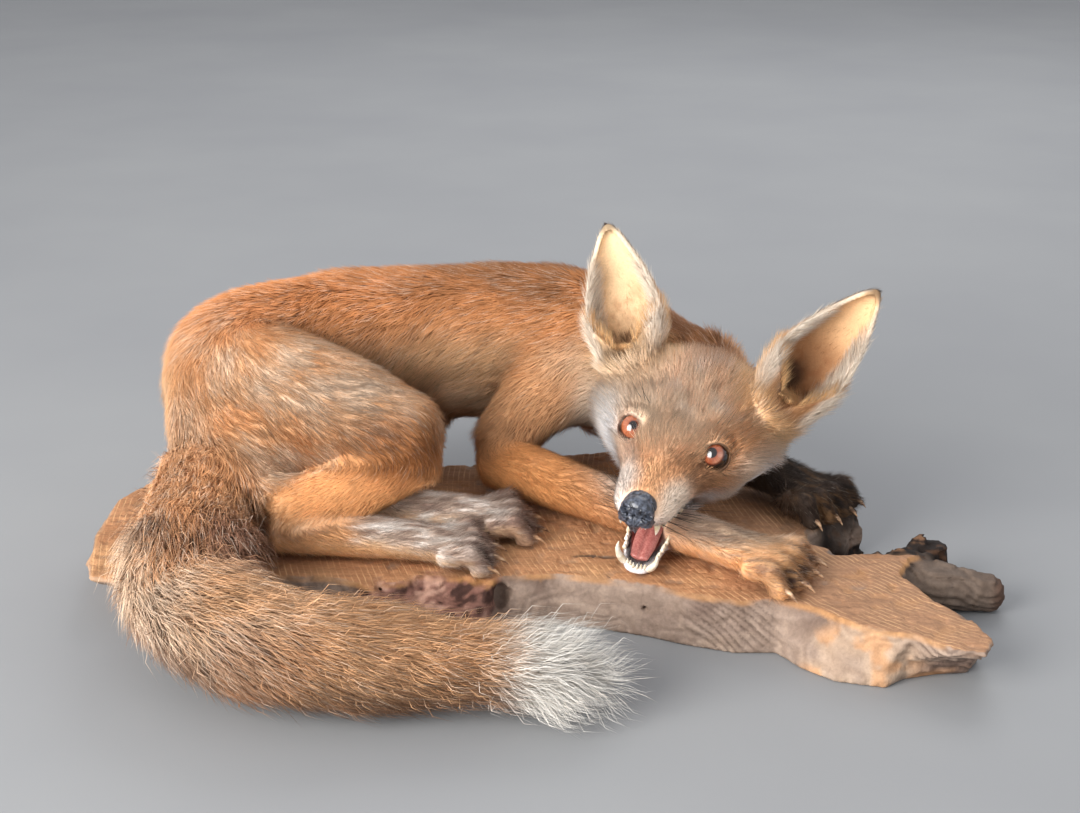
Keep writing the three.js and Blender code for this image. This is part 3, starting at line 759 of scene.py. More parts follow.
# ---------------------------------------------------------------- head under the coat
# The face is thin hide over a carved form: bare lids drawn over glass eyes, lips tucked in and
# painted black, and ears of hide over card, bare inside.

# The head has a frame of its own: x to the fox's left, y back from the nose tip, z up.
NOSE_TIP = np.array([57.0, -107.0, 76.5])
HEAD_TURN = np.array(
    Matrix.Rotation(math.radians(-22.5), 3, "Z")
    @ Matrix.Rotation(math.radians(10.5), 3, "X")
    @ Matrix.Rotation(math.radians(12.0), 3, "Y")
)
EYE_OUT, EYE_BACK, EYE_UP = 25.5, 64.0, 14.0  # middle of the left eye in the head's frame
EYE_RADIUS = 9.2  # of the socket's hollow
LID = 1.4         # thickness of the lids
EYE_PROUD = 1.8   # how far the eye is moved out along its gaze
JAW_TURN = 5.0    # how far the jaw's tip swings to the fox's left
EAR_LENGTH_STEPS = 40


def in_place(points):
    """From the head's own frame to the object's."""
    return np.asarray(points, float) @ HEAD_TURN.T + NOSE_TIP


def in_head(points):
    """From the object's frame to the head's own."""
    return (np.asarray(points, float) - NOSE_TIP) @ HEAD_TURN


SKULL = [
    (0, 4, 0, 14, 8, 11, 1.6), (0, 14, 0, 20, 11, 14, 2), (0, 30, 0, 24, 15, 15, 2.4),
    (0, 46, 0, 29, 22, 18, 3), (0, 60, 0, 39, 29, 23, 3.6), (0, 74, -1, 54, 38, 31, 4.4),
    (0, 92, -3, 67, 48, 37, 6), (0, 116, -3, 66, 54, 38, 7.5), (0, 142, -1, 48, 46, 34, 9),
]
JAW = [
    (0, 76, -26, 26, 12, 14, 2.5), (1.2, 52, -32, 18, 7, 9, 1.6), (3.5, 26, -38, 14, 5, 7, 1.2),
    (4.8, 11, -40.5, 11.5, 4.5, 6.5, 1.0), (5.3, 3, -41, 8.5, 4.0, 5.5, 0.8),
]
EARS = {
    "left": {"out": 1, "tip": (37, 36, 74), "facing": (0.25, -1, 0.3)},
    "right": {"out": -1, "tip": (-36, 24, 70), "facing": (0.05, -1, 0.3)},
}
EAR_BASE = (50.0, 114.0, 34.0)
EAR_HALF_WIDTH = 26.0
EAR_PROFILE = [(0, 0.86), (0.18, 1), (0.42, 0.97), (0.66, 0.74), (0.86, 0.44), (0.95, 0.28), (1, 0.14)]
EAR_WALL = 2.9


def ear_frame(ear):
    """Base, way to the tip, way that the cup faces and way across, with the ear's length."""
    way = np.array(ear["tip"], float)
    length = np.linalg.norm(way)
    way = way / length
    front = np.array(ear["facing"], float)
    front = front - way * (front @ way)
    front = front / np.linalg.norm(front)
    base = np.array([ear["out"] * EAR_BASE[0], EAR_BASE[1], EAR_BASE[2]])
    return base, way, front, np.cross(way, front), length


def ear_rows(ear, profile, depth):
    """Stations along an ear from shares of its length and half width, with its depth as a share."""
    base, way, front, across, length = ear_frame(ear)
    return [
        (*(base + way * share * length), EAR_HALF_WIDTH * wide, *(EAR_HALF_WIDTH * wide * depth,) * 2, 1.0)
        for share, wide in profile
    ]


def mouth_hollow(x, y, z):
    """Distance-like value of the open mouth, negative inside it."""
    upper = pit(x, y, z, (0, 33, -20), (17.5, 33, 12.5))
    lower = pit(x - JAW_TURN * (0.9 - 0.012 * y), y, z, (0, 29, -31.5), (9.8, 31, 7.0))
    gape = pit(x - 2, y, z, (0, 26, -26), (22, 30, 7.5))
    return np.minimum(np.minimum(upper, lower), np.maximum(gape, 0.0 * x + np.maximum(-30 - z, z + 12)))


def eye_frame(side):
    """Centre of one eye, with the ways that it looks, runs outwards and rises."""
    gaze = np.array([side * 0.42, -0.86, 0.30])
    gaze = gaze / np.linalg.norm(gaze)
    centre = np.array([side * EYE_OUT, EYE_BACK, EYE_UP]) + EYE_PROUD * gaze
    outward = np.array([side * 0.86, 0.42, 0.26])
    outward = outward - gaze * (outward @ gaze)
    outward = outward / np.linalg.norm(outward)
    rise = np.cross(gaze, outward) * -side
    if rise[2] < 0:
        rise = -rise
    return centre, gaze, outward, rise


head_shells = [limb_shell(SKULL, rings=60, sides=48), limb_shell(JAW, rings=40, dome=0.9)]
ear_shells = {}
for name, ear in EARS.items():
    base, way, front, across, length = ear_frame(ear)
    rooted = ear_rows(ear, [(-0.3, 0.55), (-0.12, 0.8), *EAR_PROFILE], 0.8)
    ear_shells[name] = limb_shell(rooted, up=front, dome=0.4, rings=EAR_LENGTH_STEPS)
everything = np.concatenate([in_place(p) for p, _ in (*head_shells, *ear_shells.values())])
part, own_first, own_count = window(everything.min(0), everything.max(0), first_fine, flesh.shape, FINE, 10)
apart = [axis - tip for axis, tip in zip(axes_of(own_first, own_count, FINE), NOSE_TIP)]
hx, hy, hz = (
    sum(axis * share for axis, share in zip(apart, HEAD_TURN[:, k])).astype(np.float32) for k in range(3)
)
HEAD_BAND = 6


def head_field(shell):
    return distance_field(in_place(shell[0]), shell[1], own_first, own_count, FINE, HEAD_BAND)


skull, jaw = map(head_field, head_shells)
hollow = mouth_hollow(hx, hy, hz)
ear_tubes = {name: head_field(shell) for name, shell in ear_shells.items()}
solid = np.minimum(skull, jaw)
nearest = np.minimum(solid, np.minimum(*ear_tubes.values()))
kept = np.nonzero((nearest < HEAD_BAND * FINE - 0.1) & ((solid > -7) | (hollow < 4)))
hx, hy, hz, skull_kept, jaw_kept, hollow_kept = (field[kept] for field in (hx, hy, hz, skull, jaw, hollow))

# What the carver adds and takes away: place, reach and height of each swelling, on both sides.
for (ax, ay, az), radii, lift in (
    ((0, 66, 27), (11, 15, 12), -2.6),      # stop between the eyes
    ((0, 34, 16), (4, 26, 8), 1.2),         # ridge of the nose
    ((10, 40, 14), (6, 22, 6), -1.0),       # slopes beside it
    ((21, 77, 30), (10, 9, 9), 2.6),        # brow
    ((40, 80, 14), (12, 14, 10), 1.6),      # outer corner of the eye
    ((46, 88, 0), (18, 16, 12), 3.0),       # cheekbone
    ((34, 58, -4), (12, 12, 9), -2.4),      # hollow under the eye
    ((17, 50, 9), (6, 10, 7), -2.2),        # tear line
    ((0, 96, 46), (6, 22, 10), -1.4),       # furrow of the forehead
    ((22, 100, 46), (14, 18, 12), 1.6),     # forehead
    ((44, 104, 38), (10, 12, 10), -2.2),    # temple in front of the ear
    ((14, 13, -7), (7, 10, 7), 2.2),        # whisker pad
    ((18, 28, -10), (8, 14, 7), 1.2),       # flews
    ((0, 3, -8), (2.2, 6, 6), -1.4),        # cleft of the upper lip
    ((26, 62, -20), (9, 10, 7), 1.6),       # corner of the mouth
    ((57, 94, -12), (20, 26, 16), -13.0),   # jowl drawn in under the cheekbone
):
    for side in ((-1, 1) if ax else (1,)):
        skull_kept -= lift * np.exp(-out_from(hx, hy, hz, (side * ax, ay, az), radii))
skull_kept = np.maximum(skull_kept, -hollow_kept)
jaw_kept = np.maximum(jaw_kept, -hollow_kept)
face = np.minimum(skull, jaw)
face[kept] = fillet(skull_kept, jaw_kept, 3.0 * ease(44, 62, hy) + 0.01)
face = softened(face, 1)
form = face[kept]
for side in (-1, 1):
    centre, gaze, outward, rise = eye_frame(side)
    qx, qy, qz = hx - centre[0], hy - centre[1], hz - centre[2]
    radius = np.sqrt(qx**2 + qy**2 + qz**2)
    out = qx * outward[0] + qy * outward[1] + qz * outward[2]
    up = qx * rise[0] + qy * rise[1] + qz * rise[2]
    ahead = qx * gaze[0] + qy * gaze[1] + qz * gaze[2]
    form = fillet(form, radius - (EYE_RADIUS + LID), 3.6)
    slit = (np.sqrt((out / 8.5) ** 2 + ((up - 0.4) / 7.9) ** 2) - 1) * 7.9
    canthus = np.sqrt(((out + 9.0) / 4.2) ** 2 + ((up + 2.6) / 1.7) ** 2) - 1
    slit = fillet(slit, canthus * 1.7, 1.2)
    form = np.maximum(form, -np.maximum(slit, 2.0 - ahead))
    form = np.maximum(form, (EYE_RADIUS - 0.25) - radius)
for name, ear in EARS.items():
    base, way, front, across, length = ear_frame(ear)
    qx, qy, qz = hx - base[0], hy - base[1], hz - base[2]
    climb = (qx * way[0] + qy * way[1] + qz * way[2]) / length
    forward = qx * front[0] + qy * front[1] + qz * front[2]
    across_ear = qx * across[0] + qy * across[1] + qz * across[2]
    tube = ear_tubes[name][kept]
    shell = np.abs(tube + EAR_WALL / 2) - EAR_WALL / 2
    mouth_half = EAR_HALF_WIDTH * (0.12 + 1.1 * ease(-0.04, 0.46, climb))
    opening = np.minimum(forward - 1.5 * ease(0.2, 0.5, climb), mouth_half - np.abs(across_ear))
    shell = np.maximum(shell, opening)
    rib = np.exp(-((across_ear + 7 * ear["out"]) / 2.4) ** 2) * ease(0.6, 0.2, climb) * ease(0, -8, forward)
    rib += (
        0.8 * np.exp(-((across_ear - 5 * ear["out"]) / 2.0) ** 2) * ease(0.5, 0.2, climb)
        * ease(0, -8, forward)
    )
    shell -= 1.2 * rib
    flare = round_bar(
        hx, hy, hz, base - way * 20 - front * 2, base - way * 9 - front * 2, 13, EAR_HALF_WIDTH * 0.74
    )
    form = fillet(form, flare, 10.0)
    form = fillet(form, shell, 3.0)
    inside = np.minimum(-(tube + EAR_WALL), 14 * (climb - 0.04))
    form = np.maximum(form, np.where((climb > 0) & (tube < 0), inside, -5))
face[kept] = form
behind = sum(apart[k] * HEAD_TURN[k, 1] for k in range(3))
above = sum(apart[k] * HEAD_TURN[k, 2] for k in range(3))
neck_share = ease(86, 112, behind) * ease(26, 6, above)
flesh[part] = fillet(face, flesh[part], (0.6 + 11 * neck_share).astype(np.float32))

# ---------------------------------------------------------------- skin
# One hide from nose to tail tip. It rests on the sawn wood, and where the brush hangs over the
# end of the slab it wraps round the rim and lies on the floor.

near = window(slab_points.min(0), slab_points.max(0), first_fine, flesh.shape, FINE, 6)
wood_near = distance_field(slab_points, slab_faces, near[1], near[2], FINE, 5)
flesh[near[0]] = np.maximum(flesh[near[0]], 0.8 - wood_near)
flesh = np.maximum(flesh, 1.0 - axes_of(first_fine, flesh.shape, FINE)[2])
skin_points, skin_quads = surface_of(flesh, first_fine, FINE, FLESH_BAND * FINE)
skin = make_mesh("fox_skin", skin_points, skin_quads)
HIDE_FACES_KEPT = 0.28
skin_mesh = lightened(skin, HIDE_FACES_KEPT)
skin_mesh.name = "fox_skin"
bpy.context.view_layer.objects.active = skin
skin.select_set(True)
bpy.ops.object.mode_set(mode="EDIT")
bpy.ops.mesh.select_all(action="SELECT")
bpy.ops.mesh.quads_convert_to_tris()
bpy.ops.uv.smart_project(angle_limit=math.radians(70), island_margin=0.001)
bpy.ops.object.mode_set(mode="OBJECT")
skin.select_set(False)
skin_mesh.uv_layers[0].name = "OFBake"
skin_mesh.polygons.foreach_set("use_smooth", np.ones(len(skin_mesh.polygons), bool))

hide = numbers(skin_mesh.vertices, "co", 3) * 1000.0
hide_out = numbers(skin_mesh.vertices, "normal", 3)
hide_faces = numbers(skin_mesh.polygons, "vertices", 3, np.int32)
hide_map = numbers(skin_mesh.uv_layers[0].uv, "vector", 2).reshape(-1, 3, 2)
edge_a = hide[hide_faces[:, 1]] - hide[hide_faces[:, 0]]
edge_b = hide[hide_faces[:, 2]] - hide[hide_faces[:, 0]]
hide_area = np.linalg.norm(np.cross(edge_a, edge_b), axis=1) / 2
hide_head = in_head(hide)
hide_head_out = hide_out @ HEAD_TURN

# Which limb each place of the hide belongs to, and which way the hair grows on it.


def limb_line(stations, count=24, on_head=False):
    """Middle, radius and heading at even places along a limb."""
    rows = np.asarray(stations, float)
    s = np.linspace(0, len(rows) - 1, count)
    values = blended_rows(rows, s)
    ahead = unit(np.gradient(values[:, :3], axis=0))
    radius = np.maximum((values[:, 3] + (values[:, 4] + values[:, 5]) / 2) / 2 - values[:, 6], 2)
    middle = values[:, :3]
    if on_head:
        middle, ahead = in_place(middle), ahead @ HEAD_TURN.T
    return middle, radius, ahead


LIMBS = {
    # name: (line, 1 where hair grows along the stations or -1 against them)
    "trunk": (limb_line(TRUNK, 40), -1),
    "tail": (limb_line(TAIL, 50), 1),
    "skull": (limb_line(SKULL, 30, True), 1),
    "jaw": (limb_line(JAW, 16, True), -1),
    "ear_left": (limb_line(ear_rows(EARS["left"], EAR_PROFILE, 0.6), 16, True), 1),
    "ear_right": (limb_line(ear_rows(EARS["right"], EAR_PROFILE, 0.6), 16, True), 1),
}
for side in ("right", "left"):
    LIMBS["thigh_" + side] = (limb_line(THIGH[side]), 1)
    LIMBS["shin_" + side] = (limb_line(SHIN[side]), 1)
    LIMBS["upper_arm_" + side] = (limb_line(UPPER_ARM[side]), 1)
    LIMBS["forearm_" + side] = (limb_line(FOREARM[side]), 1)
for name, stations in FEET.items():
    toes = [toe_joints(name, n) for n in range(4)]
    line, radius, ahead = limb_line(stations)
    middle = [line]
    for root, knuckle, tip, way in toes:
        middle.append(np.linspace(knuckle, tip + way * 4, 6))
    LIMBS["foot_" + name] = ((
        np.concatenate(middle), np.concatenate([radius, np.full(24, 6.0)]),
        np.concatenate([ahead] + [np.repeat(way[None], 6, 0) for *_, way in toes]),
    ), 1)

reach_to = np.empty((len(LIMBS), len(hide)), np.float32)
grows = np.empty((len(LIMBS), len(hide), 3), np.float32)
along_limb = {}
for number, (name, ((middle, radius, ahead), sign)) in enumerate(LIMBS.items()):
    best = np.full(len(hide), 1e9, np.float32)
    which = np.zeros(len(hide), int)
    for k in range(len(middle)):
        distance = np.linalg.norm(hide - middle[k].astype(np.float32), axis=1) / radius[k]
        nearer = distance < best
        best[nearer] = distance[nearer]
        which[nearer] = k
    reach_to[number] = best
    grows[number] = ahead[which] * sign
    along_limb[name] = (which / (len(middle) - 1)).astype(np.float32)
share = np.exp(-7 * (reach_to - reach_to.min(0)))
share /= share.sum(0)
on = dict(zip(LIMBS, share))
on["feet"] = sum(on["foot_" + name] for name in FEET)
on["head"] = np.clip(on["skull"] + on["jaw"], 0, 1)
on["ears"] = on["ear_left"] + on["ear_right"]

lie = np.einsum("kv,kvc->vc", share, grows)
down = np.array([0, 0, -1.0])
thighs = on["thigh_right"] + on["thigh_left"]
flank = on["trunk"] + 0.8 * thighs
lie += (flank * 0.55)[:, None] * down
cheek = on["head"] * ease(20, 60, np.abs(hide_head[:, 0])) * ease(60, 90, hide_head[:, 1])
lie += (cheek * 0.5)[:, None] * (down @ HEAD_TURN.T)
out_of_line = on["head"] * ease(40, 75, hide_head[:, 1])
spread = np.stack([hide_head[:, 0] / 60, 0 * hide[:, 0], hide_head[:, 2] / 80], -1)
lie += out_of_line[:, None] * (spread @ HEAD_TURN.T) * 0.8
for k, seed in enumerate((51, 52, 53)):
    lie[:, k] += 0.34 * grain(*hide.T, 24, seed) + 0.2 * grain(*hide.T, 9, seed + 5)
lie -= hide_out * (lie * hide_out).sum(1, keepdims=True)
lie = unit(lie)

# ---------------------------------------------------------------- markings
# Rust back with a browner saddle, tan flanks, cream cheeks, throat and belly, grizzled feet, and
# a brush from tawny through brown to a white tip. Skin and hair take their colour from these marks.

RUST = tint(220, 156, 104)
DEEP_RUST = tint(190, 122, 70)
SADDLE = tint(148, 99, 62)
TAN = tint(235, 191, 147)
ORANGE = tint(228, 160, 98)
SAND = tint(238, 208, 178)
CREAM = tint(245, 230, 212)
WHITE = tint(252, 249, 244)
GRIZZLE = tint(174, 155, 144)
UMBER = tint(118, 82, 62)
SOOT = tint(48, 37, 31)
EAR_SKIN = tint(240, 196, 148)
LIP_BLACK = tint(26, 20, 20)
MOUTH_RED = tint(150, 66, 60)


def capped(rows):
    """Colours scaled down where a channel would pass 1, so that they keep their hue."""
    return rows / np.maximum(rows.max(1, keepdims=True), 1)


patch, fleck, speck = (grain(*hide.T, size, seed) for size, seed in ((22, 61), (7, 62), (3, 63)))
uneven = 0.5 * patch + 0.35 * fleck + 0.25 * speck
x, y, z = hide.T
top = hide_out[:, 2]

coat = np.repeat(RUST[None], len(hide), 0)


def mark(colour, amount):
    """Lays a colour over the coat, by an amount for each place."""
    coat[:] = paint(coat, colour, amount)


# Back, flanks, belly and legs.
mark(DEEP_RUST, 0.75 * on["trunk"] * ease(0.35, 0.95, top + 0.2 * uneven))
saddle = ease(100, 20, np.abs(x + 20)) * ease(148, 166, z + 6 * uneven) * ease(-0.8, 0.3, uneven)
mark(SADDLE, 0.95 * on["trunk"] * saddle)
mark(TAN, 0.98 * on["trunk"] * ease(0.75, 0.1, top + 0.25 * uneven) * ease(160, 120, z))
mark(SAND, 0.7 * on["trunk"] * ease(112, 84, z + 8 * uneven))
mark(CREAM, 0.8 * on["trunk"] * ease(90, 60, z + 8 * uneven))
for side in ("right", "left"):
    thigh = on["thigh_" + side]
    mark(TAN, 0.75 * thigh * ease(-0.6, 0.5, uneven + 0.2))
    mark(CREAM, 0.5 * thigh * ease(0.0, 0.8, uneven + 0.25))
    mark(tint(240, 178, 120), 0.9 * on["shin_" + side] * ease(-0.9, 0.3, uneven + 0.3))
    mark(TAN, 0.55 * on["upper_arm_" + side])
    mark(ORANGE, 0.8 * on["forearm_" + side] * ease(-0.8, 0.4, uneven + 0.3))
# painted highlight in cream along the top edge of the right thigh
lit_thigh_edge = blot(hide, (-104, 26, 134), (54, 18, 12), 0.6) * ease(-0.8, 0.1, uneven)
mark(CREAM, 0.8 * lit_thigh_edge * on["thigh_right"])
knee_shade = blot(hide, (-88, -54, 98), (32, 24, 22), 0.6)
mark(tint(176, 112, 62), 0.85 * knee_shade * ease(-0.8, 0.2, uneven + 0.2))

# Feet: wisps along the toes, brown on each toe and painted shade between them. The far forepaw is near
# black, its dark fur with painted shadow over it.
feet = on["feet"]
streak = np.zeros(len(hide))
for name in FEET:
    turn = math.radians(TOES[name][0])
    ahead, across = x * math.cos(turn) + y * math.sin(turn), y * math.cos(turn) - x * math.sin(turn)
    wisps = 0.8 * grain(0.22 * ahead, across, z, 2.4, 64) + 0.4 * grain(0.4 * ahead, across, z, 6, 65)
    streak += on["foot_" + name] * wisps
grey_top = feet * ease(-0.2, 0.6, top + 0.5 * uneven)
mark(tint(244, 204, 162), feet)
mark(GRIZZLE, 0.85 * grey_top * (1 - 0.9 * on["foot_fore_right"]))
mark(ORANGE, 0.85 * on["foot_fore_right"] * ease(1.3, 0.3, top + 0.3 * uneven))
mark(WHITE, 0.55 * feet * ease(0.0, 0.6, streak + 0.1) * (1 - 0.75 * on["foot_fore_right"]))
mark(tint(104, 82, 74), 0.7 * feet * ease(0.05, 0.5, -streak) * ease(-0.1, 0.5, top))
for name in FEET:
    hind = name.startswith("hind")
    for number in range(4):
        _, knuckle, tip, _ = toe_joints(name, number)
        toe = on["foot_" + name] * blot(hide, (knuckle + tip) / 2, (19, 10, 12), 0.5)
        toe_brown = tint(118, 90, 78) if hind else tint(146, 110, 86)
        mark(toe_brown, 0.8 * toe * ease(-0.9, -0.1, fleck))
        mark(tint(190, 166, 150), 0.6 * toe * ease(0.1, 0.5, streak) * hind)
    for number in range(3):
        pair = (toe_joints(name, number), toe_joints(name, number + 1))
        between = sum(joints[1] + joints[2] for joints in pair) / 4
        # painted shade in the clefts between the toes
        mark(tint(66, 48, 42), 0.95 * blot(hide, between, (13, 4.4, 10), 0.45))
hock = on["foot_hind_right"] * ease(-104, -128, x + 8 * uneven)
mark(tint(240, 178, 120), 0.9 * hock)
mark(tint(240, 186, 132), 0.8 * feet * ease(0.1, -0.4, top + 0.3 * uneven) * ease(-60, -80, x))
mark(tint(88, 74, 68), 0.85 * blot(hide, (108, -88, 60), (36, 17, 11), 0.6) * ease(-0.5, 0.2, streak + 0.2))
mark(tint(206, 184, 160), 0.6 * blot(hide, (114, -90, 60), (40, 19, 16), 0.6) * ease(0.1, 0.5, -streak))
mark(
    tint(196, 148, 100),
    0.7 * blot(hide, (148, -114, 44), (28, 26, 16), 0.5) * ease(-0.3, 0.5, streak + 0.2),
)
# The far forepaw is painted near black: its own dark fur, with painted shadow over it.
far_paw = blot(hide, (170, 4, 46), (44, 46, 24), 0.12) + on["foot_fore_left"]
dark_foot = np.clip(far_paw + on["forearm_left"] * ease(76, 104, x + 6 * uneven), 0, 1)

# The brush, from its root, where run is 0, to the white tip.
tail = on["tail"]
run = along_limb["tail"]
mark(TAN, 0.65 * tail)
mark(RUST, 0.7 * tail * ease(0.4, 0.2, run))
upper_inner = (
    tail * ease(-176, -140, y) * ease(-86, -102, y) * ease(-216, -186, x + 8 * uneven)
    * ease(-0.2, 0.4, hide_out[:, 0] + 0.35 * top)
)
mark(tint(128, 94, 84), 0.8 * upper_inner * ease(-0.7, 0.2, uneven + 0.2))
mark(tint(246, 218, 190), 0.9 * tail * ease(0.0, 0.5, -hide_out[:, 0] + 0.2 * uneven) * ease(0.5, 0.3, run))
mark(CREAM, 0.6 * blot(hide, (-190, -196, 52), (46, 40, 30), 0.6) * ease(-0.4, 0.5, uneven))
mark(UMBER, 0.8 * tail * ease(0.05, -0.45, top + 0.25 * uneven))
mark(tint(188, 126, 76), 0.55 * tail * ease(0.0, 0.7, patch + 0.3 * fleck))
mark(UMBER, 0.4 * tail * ease(0.3, 0.75, uneven))
mark(UMBER, 0.85 * blot(hide, (-225, -113, 74), (9, 10, 20), 0.5))
mark(UMBER, 0.85 * blot(hide, (-207, -129, 73), (7, 9, 20), 0.5))
rump_hair = tail * ease(-108, -92, y + 8 * uneven) * ease(-0.4, 0.1, top)
mark(tint(226, 170, 122), 0.95 * rump_hair)
mark(CREAM, 0.3 * rump_hair * ease(0.0, 0.7, uneven))
mark(tint(240, 236, 229), tail * ease(0.73, 0.80, run + 0.03 * uneven))

# The head: brow, bridge of the nose, cheeks, white lower face and throat. The fox's right side, which faces
# the window light, gets painted light, and its left side painted shade.
hx, hy, hz = hide_head.T
wide = np.abs(hx)
head = on["head"] * (1 - dark_foot)


def face_spot(centre, radii, soft):
    """The head's own amount inside an ellipsoid placed in the head's frame."""
    return head * blot(hide_head, centre, radii, soft)


mark(tint(228, 172, 122), head)
# painted light on the brow
mark(tint(255, 222, 184), 0.95 * face_spot((-8, 72, 26), (30, 30, 24), 0.5))
# painted shade on the crown, mostly on the fox's left
mark(tint(148, 98, 64), 0.8 * head * ease(94, 112, hy) * ease(-34, -14, hx) * ease(30, 44, hz))
# painted shade on the fox's left cheek behind the eye
mark(tint(186, 134, 90), 0.75 * head * ease(34, 48, hx) * ease(70, 90, hy))
mark(SAND, 0.4 * face_spot((0, 92, 44), (44, 34, 26), 0.5) * ease(-0.6, 0.4, uneven))
mark(tint(172, 114, 74), 0.5 * face_spot((0, 86, 40), (40, 26, 22), 0.5) * ease(0.0, 0.5, fleck))
mark(CREAM, 0.6 * face_spot((0, 86, 40), (44, 26, 22), 0.5) * ease(0.1, 0.6, -fleck + 0.4 * speck))
mark(ORANGE, 0.2 * face_spot((0, 56, 20), (15, 18, 14), 0.5))
# painted shade: deeper orange about the eye on the fox's left
mark(tint(216, 152, 98), 0.7 * head * ease(8, 24, hx) * blot(hide_head, (0, 74, 16), (48, 18, 14), 0.4))
# dark tear lines, painted stronger on the fox's left side as painted shade
for side in (-1, 1):
    mark(UMBER, (0.45 + 0.15 * side) * face_spot((side * 17, 47, 5), (6, 13, 7), 0.6))
mark(tint(190, 130, 86), 0.35 * face_spot((8, 38, 14), (10, 14, 8), 0.5))
# painted light over the fox's right side of the face
lit_side = head * ease(-16, -30, hx) * ease(40, 56, hy)
mark(tint(255, 228, 194), 0.85 * lit_side * ease(-0.9, 0.0, uneven))
# painted light on the forehead, on the fox's right
mark(tint(242, 200, 164), 0.5 * face_spot((-24, 92, 36), (22, 22, 14), 0.6))
# painted shade on the fox's left cheek
mark(tint(152, 122, 98), 0.65 * face_spot((45, 69, 2), (9, 14, 8), 0.5))
low_face = ease(2, -12, hz + 0.12 * (hy - 30)) * head
mark(WHITE, 0.9 * low_face * ease(-0.9, -0.2, uneven + 0.1))
mark(tint(240, 228, 212), 0.85 * face_spot((-20, 22, 0), (16, 24, 12), 0.4))
# painted light under the fox's right eye
mark(tint(255, 216, 182), 0.85 * face_spot((-25, 47, 5), (9, 12, 10), 0.5))
mark(tint(234, 216, 192), 0.85 * face_spot((16, 21, 0), (11, 19, 11), 0.4))
# painted shade under the fox's left eye
mark(tint(146, 100, 70), 0.75 * face_spot((22, 46, 4), (6, 15, 10), 0.5) * ease(-0.7, 0.2, uneven))
# The cheek's white reaches further on the fox's right, towards the light: white fur and painted light.
cheek_line = wide + 0.5 * (20 - hz) + 6 * uneven + 18 * (hx < 0)
mark(SAND, 0.85 * head * ease(38, 52, cheek_line) * ease(44, 62, hy) * ease(42, 26, hz))
mark(WHITE, 0.9 * head * ease(52, 64, cheek_line) * ease(46, 66, hy) * ease(36, 20, hz))
# white fur and painted light low on the fox's right cheek
mark(WHITE, 0.85 * head * (hx < 0) * ease(24, 36, wide) * ease(6, -8, hz) * ease(26, 40, hy))
throat = np.clip(on["jaw"] + on["trunk"] * ease(60, 30, y) * ease(10, 40, x), 0, 1) * ease(0.3, -0.4, top)
mark(WHITE, 0.85 * throat)
mark(SAND, 0.75 * on["trunk"] * blot(hide, (28, 30, 112), (22, 26, 28), 0.5))
# painted shadow on the chest, in the gap between the cheek and the foreleg
mark(tint(96, 88, 84), 0.8 * blot(hide, (30, 0, 92), (26, 26, 22), 0.5) * on["trunk"])
# the ruff on the fox's right, near white: white fur and painted light
ruff = head * ease(-30, -46, hx) * ease(60, 84, hy) * ease(56, 30, hz)
mark(tint(255, 243, 224), 0.9 * ruff)

# near black on the far forepaw: dark fur and painted shadow
mark(SOOT, 0.93 * dark_foot)
mark(tint(142, 104, 66), 0.6 * dark_foot * ease(0.0, 0.5, streak) * ease(150, 176, x))

# Ears: dark behind, bare and pale in the cup, with a fringe along the edge and longer hair round
# the base, which is combed across the cup.
ears = on["ears"]
ear_skirt, ear_fringe, inside_ear = np.zeros((3, len(hide)))
for name, ear in EARS.items():
    base, way, front, across, ear_length = ear_frame(ear)
    local = hide_head - base
    climb = local @ way / ear_length
    inner = ease(-0.1, 0.3, hide_head_out @ front)
    own = on["ear_" + name]
    half_here = np.maximum(EAR_HALF_WIDTH * np.interp(climb, *zip(*EAR_PROFILE)), 4)
    span = np.abs(local @ across) / half_here
    mark(tint(216, 156, 98), 0.9 * own * (1 - inner))
    mark(SOOT, 0.9 * own * (1 - inner) * ease(0.3, 0.75, climb + 0.1 * uneven))
    # The right ear faces the light: its cup is painted lighter, as painted light, and it gets less painted
    # shade.
    if name == "left":
        cup, hair_in_it, deep = EAR_SKIN, 0.7, 0.85
        hole = ease(12, 5, np.hypot(0.75 * (climb * ear_length - 13), 0.9 * (local @ across + 4)))
    else:
        cup, hair_in_it, deep = tint(255, 222, 178), 0.45, 0.35
        hole = ease(0.16, 0.0, climb)
    mark(cup, own * inner)
    thin_hair = ease(0.3, 0.6, 0.5 * fleck + 0.6 * speck + 0.25) * ease(0.62, 0.3, climb)
    mark(tint(160, 104, 66), hair_in_it * own * inner * thin_hair)
    # painted shade low in the cup
    mark(tint(150, 100, 62), deep * own * inner * ease(0.9, 0.35, climb + 0.1 * uneven))
    # painted shade at the ear's opening
    mark(tint(54, 32, 22), 0.9 * own * inner * hole)
    mark(CREAM, 0.8 * own * inner * ease(0.55, 0.9, span))
    mark(SOOT, 0.7 * own * ease(0.9, 0.99, climb))
    round_base = ease(44, 30, np.linalg.norm(local - way * 6, axis=1))
    skirt = round_base * ease(0.42, 0.2, climb) * (1 - own * inner)
    fringe = own * inner * ease(0.55, 0.8, span) * ease(0.8, 0.55, climb)
    ear_skirt = np.maximum(ear_skirt, skirt)
    ear_fringe = np.maximum(ear_fringe, fringe)
    inside_ear = np.maximum(inside_ear, own * (inner * ease(0.86, 0.7, span) * ease(0.05, 0.2, climb)))
    mark(tint(244, 196, 140), 0.9 * skirt)
    mark(CREAM, 0.3 * skirt * (hide_head_out[:, 1] < 0.2) * ease(0.0, 0.5, fleck) + 0.9 * fringe)
    inward = -np.sign(local @ across)[:, None] * across
    wish = (0.75 * way + 0.6 * inward) @ HEAD_TURN.T
    lie += fringe[:, None] * wish * 3

